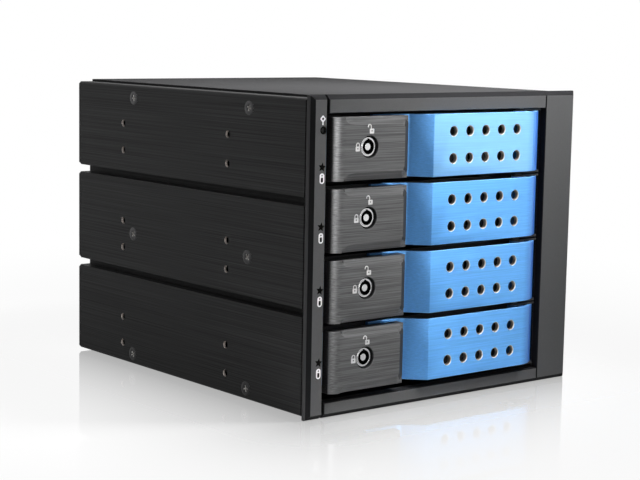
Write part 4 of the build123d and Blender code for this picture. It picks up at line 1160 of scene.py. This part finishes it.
def makeSideScrewMaster():  # head up along +Z, its top at 0
    deep = sideScrew["depth"]
    bpy.ops.mesh.primitive_cone_add(
        vertices=40, radius1=sideScrew["shank"] * mm, radius2=sideScrew["head"] * mm,
        depth=deep * mm, location=(0, 0, -deep / 2 * mm))
    screw = startPiece("sideScrewMaster")
    selectFaces(screw, looksDown)
    extrudeBy(0, 0, -sideScrew["length"])
    leaveEdit()
    cutCross(screw, sideScrew["recess"], 0)
    roundEdges(screw, sideScrew["edge"], 30)
    return screw


def makeSideScrews():
    master = makeSideScrewMaster()
    screws = []
    for side in (-1, 1):
        for number, (y, z) in enumerate((y, z) for y in sideScrew["depths"] for z in sideScrew["heights"]):
            turn = Matrix.Rotation(math.radians(sideScrew["turns"][number]), 4, "Z")
            lay = Matrix.Rotation(side * quarterTurn, 4, "Y")
            move = Matrix.Translation((side * sideScrew["side"] * mm, y * mm, z * mm))
            screws.append(copyPiece(master, "sideScrew", move @ lay @ turn))
    bpy.data.objects.remove(master)
    piece = joinPieces(screws, "crossSideScrews")
    smooth(piece)
    finishPiece(piece, materials["sideScrewBlack"], "screw_black", "cage", "side_screws")


def makeFanScrews():
    rise = fanScrew["rise"]
    bpy.ops.mesh.primitive_cylinder_add(vertices=40, radius=fanScrew["head"] * mm, depth=rise * mm,
                                        location=(0, 0, rise / 2 * mm))
    master = startPiece("fanScrewMaster")
    selectEdges(master, lambda a, b: min(a.z, b.z) > rise * mm - tiny)
    bpy.ops.mesh.bevel(offset=fanScrew["dome"] * mm, segments=fanScrew["domeSteps"], affect="EDGES")
    leaveEdit()
    selectFaces(master, looksDown)
    bpy.ops.mesh.inset(thickness=(fanScrew["head"] - fanScrew["shank"]) * mm)
    extrudeBy(0, 0, -fanScrew["length"])
    leaveEdit()
    cutCross(master, fanScrew["recess"], rise)
    half = fanScrew["spacing"] / 2
    x0, z0 = fanScrew["middle"]
    screws = []
    for number, (i, j) in enumerate(((-1, -1), (-1, 1), (1, -1), (1, 1))):
        turn = Matrix.Rotation(math.radians(fanScrew["turns"][number]), 4, "Z")
        lay = Matrix.Rotation(-quarterTurn, 4, "X")
        move = Matrix.Translation(((x0 + i * half) * mm, fanScrew["back"] * mm, (z0 + j * half) * mm))
        screws.append(copyPiece(master, "fanScrew", move @ lay @ turn))
    bpy.data.objects.remove(master)
    piece = joinPieces(screws, "crossFanScrews")
    smooth(piece)
    finishPiece(piece, materials["screwBlack"], "screw_black", "cage", "fan_screws")


makeSideScrews()
makeFanScrews()
print("screws made")
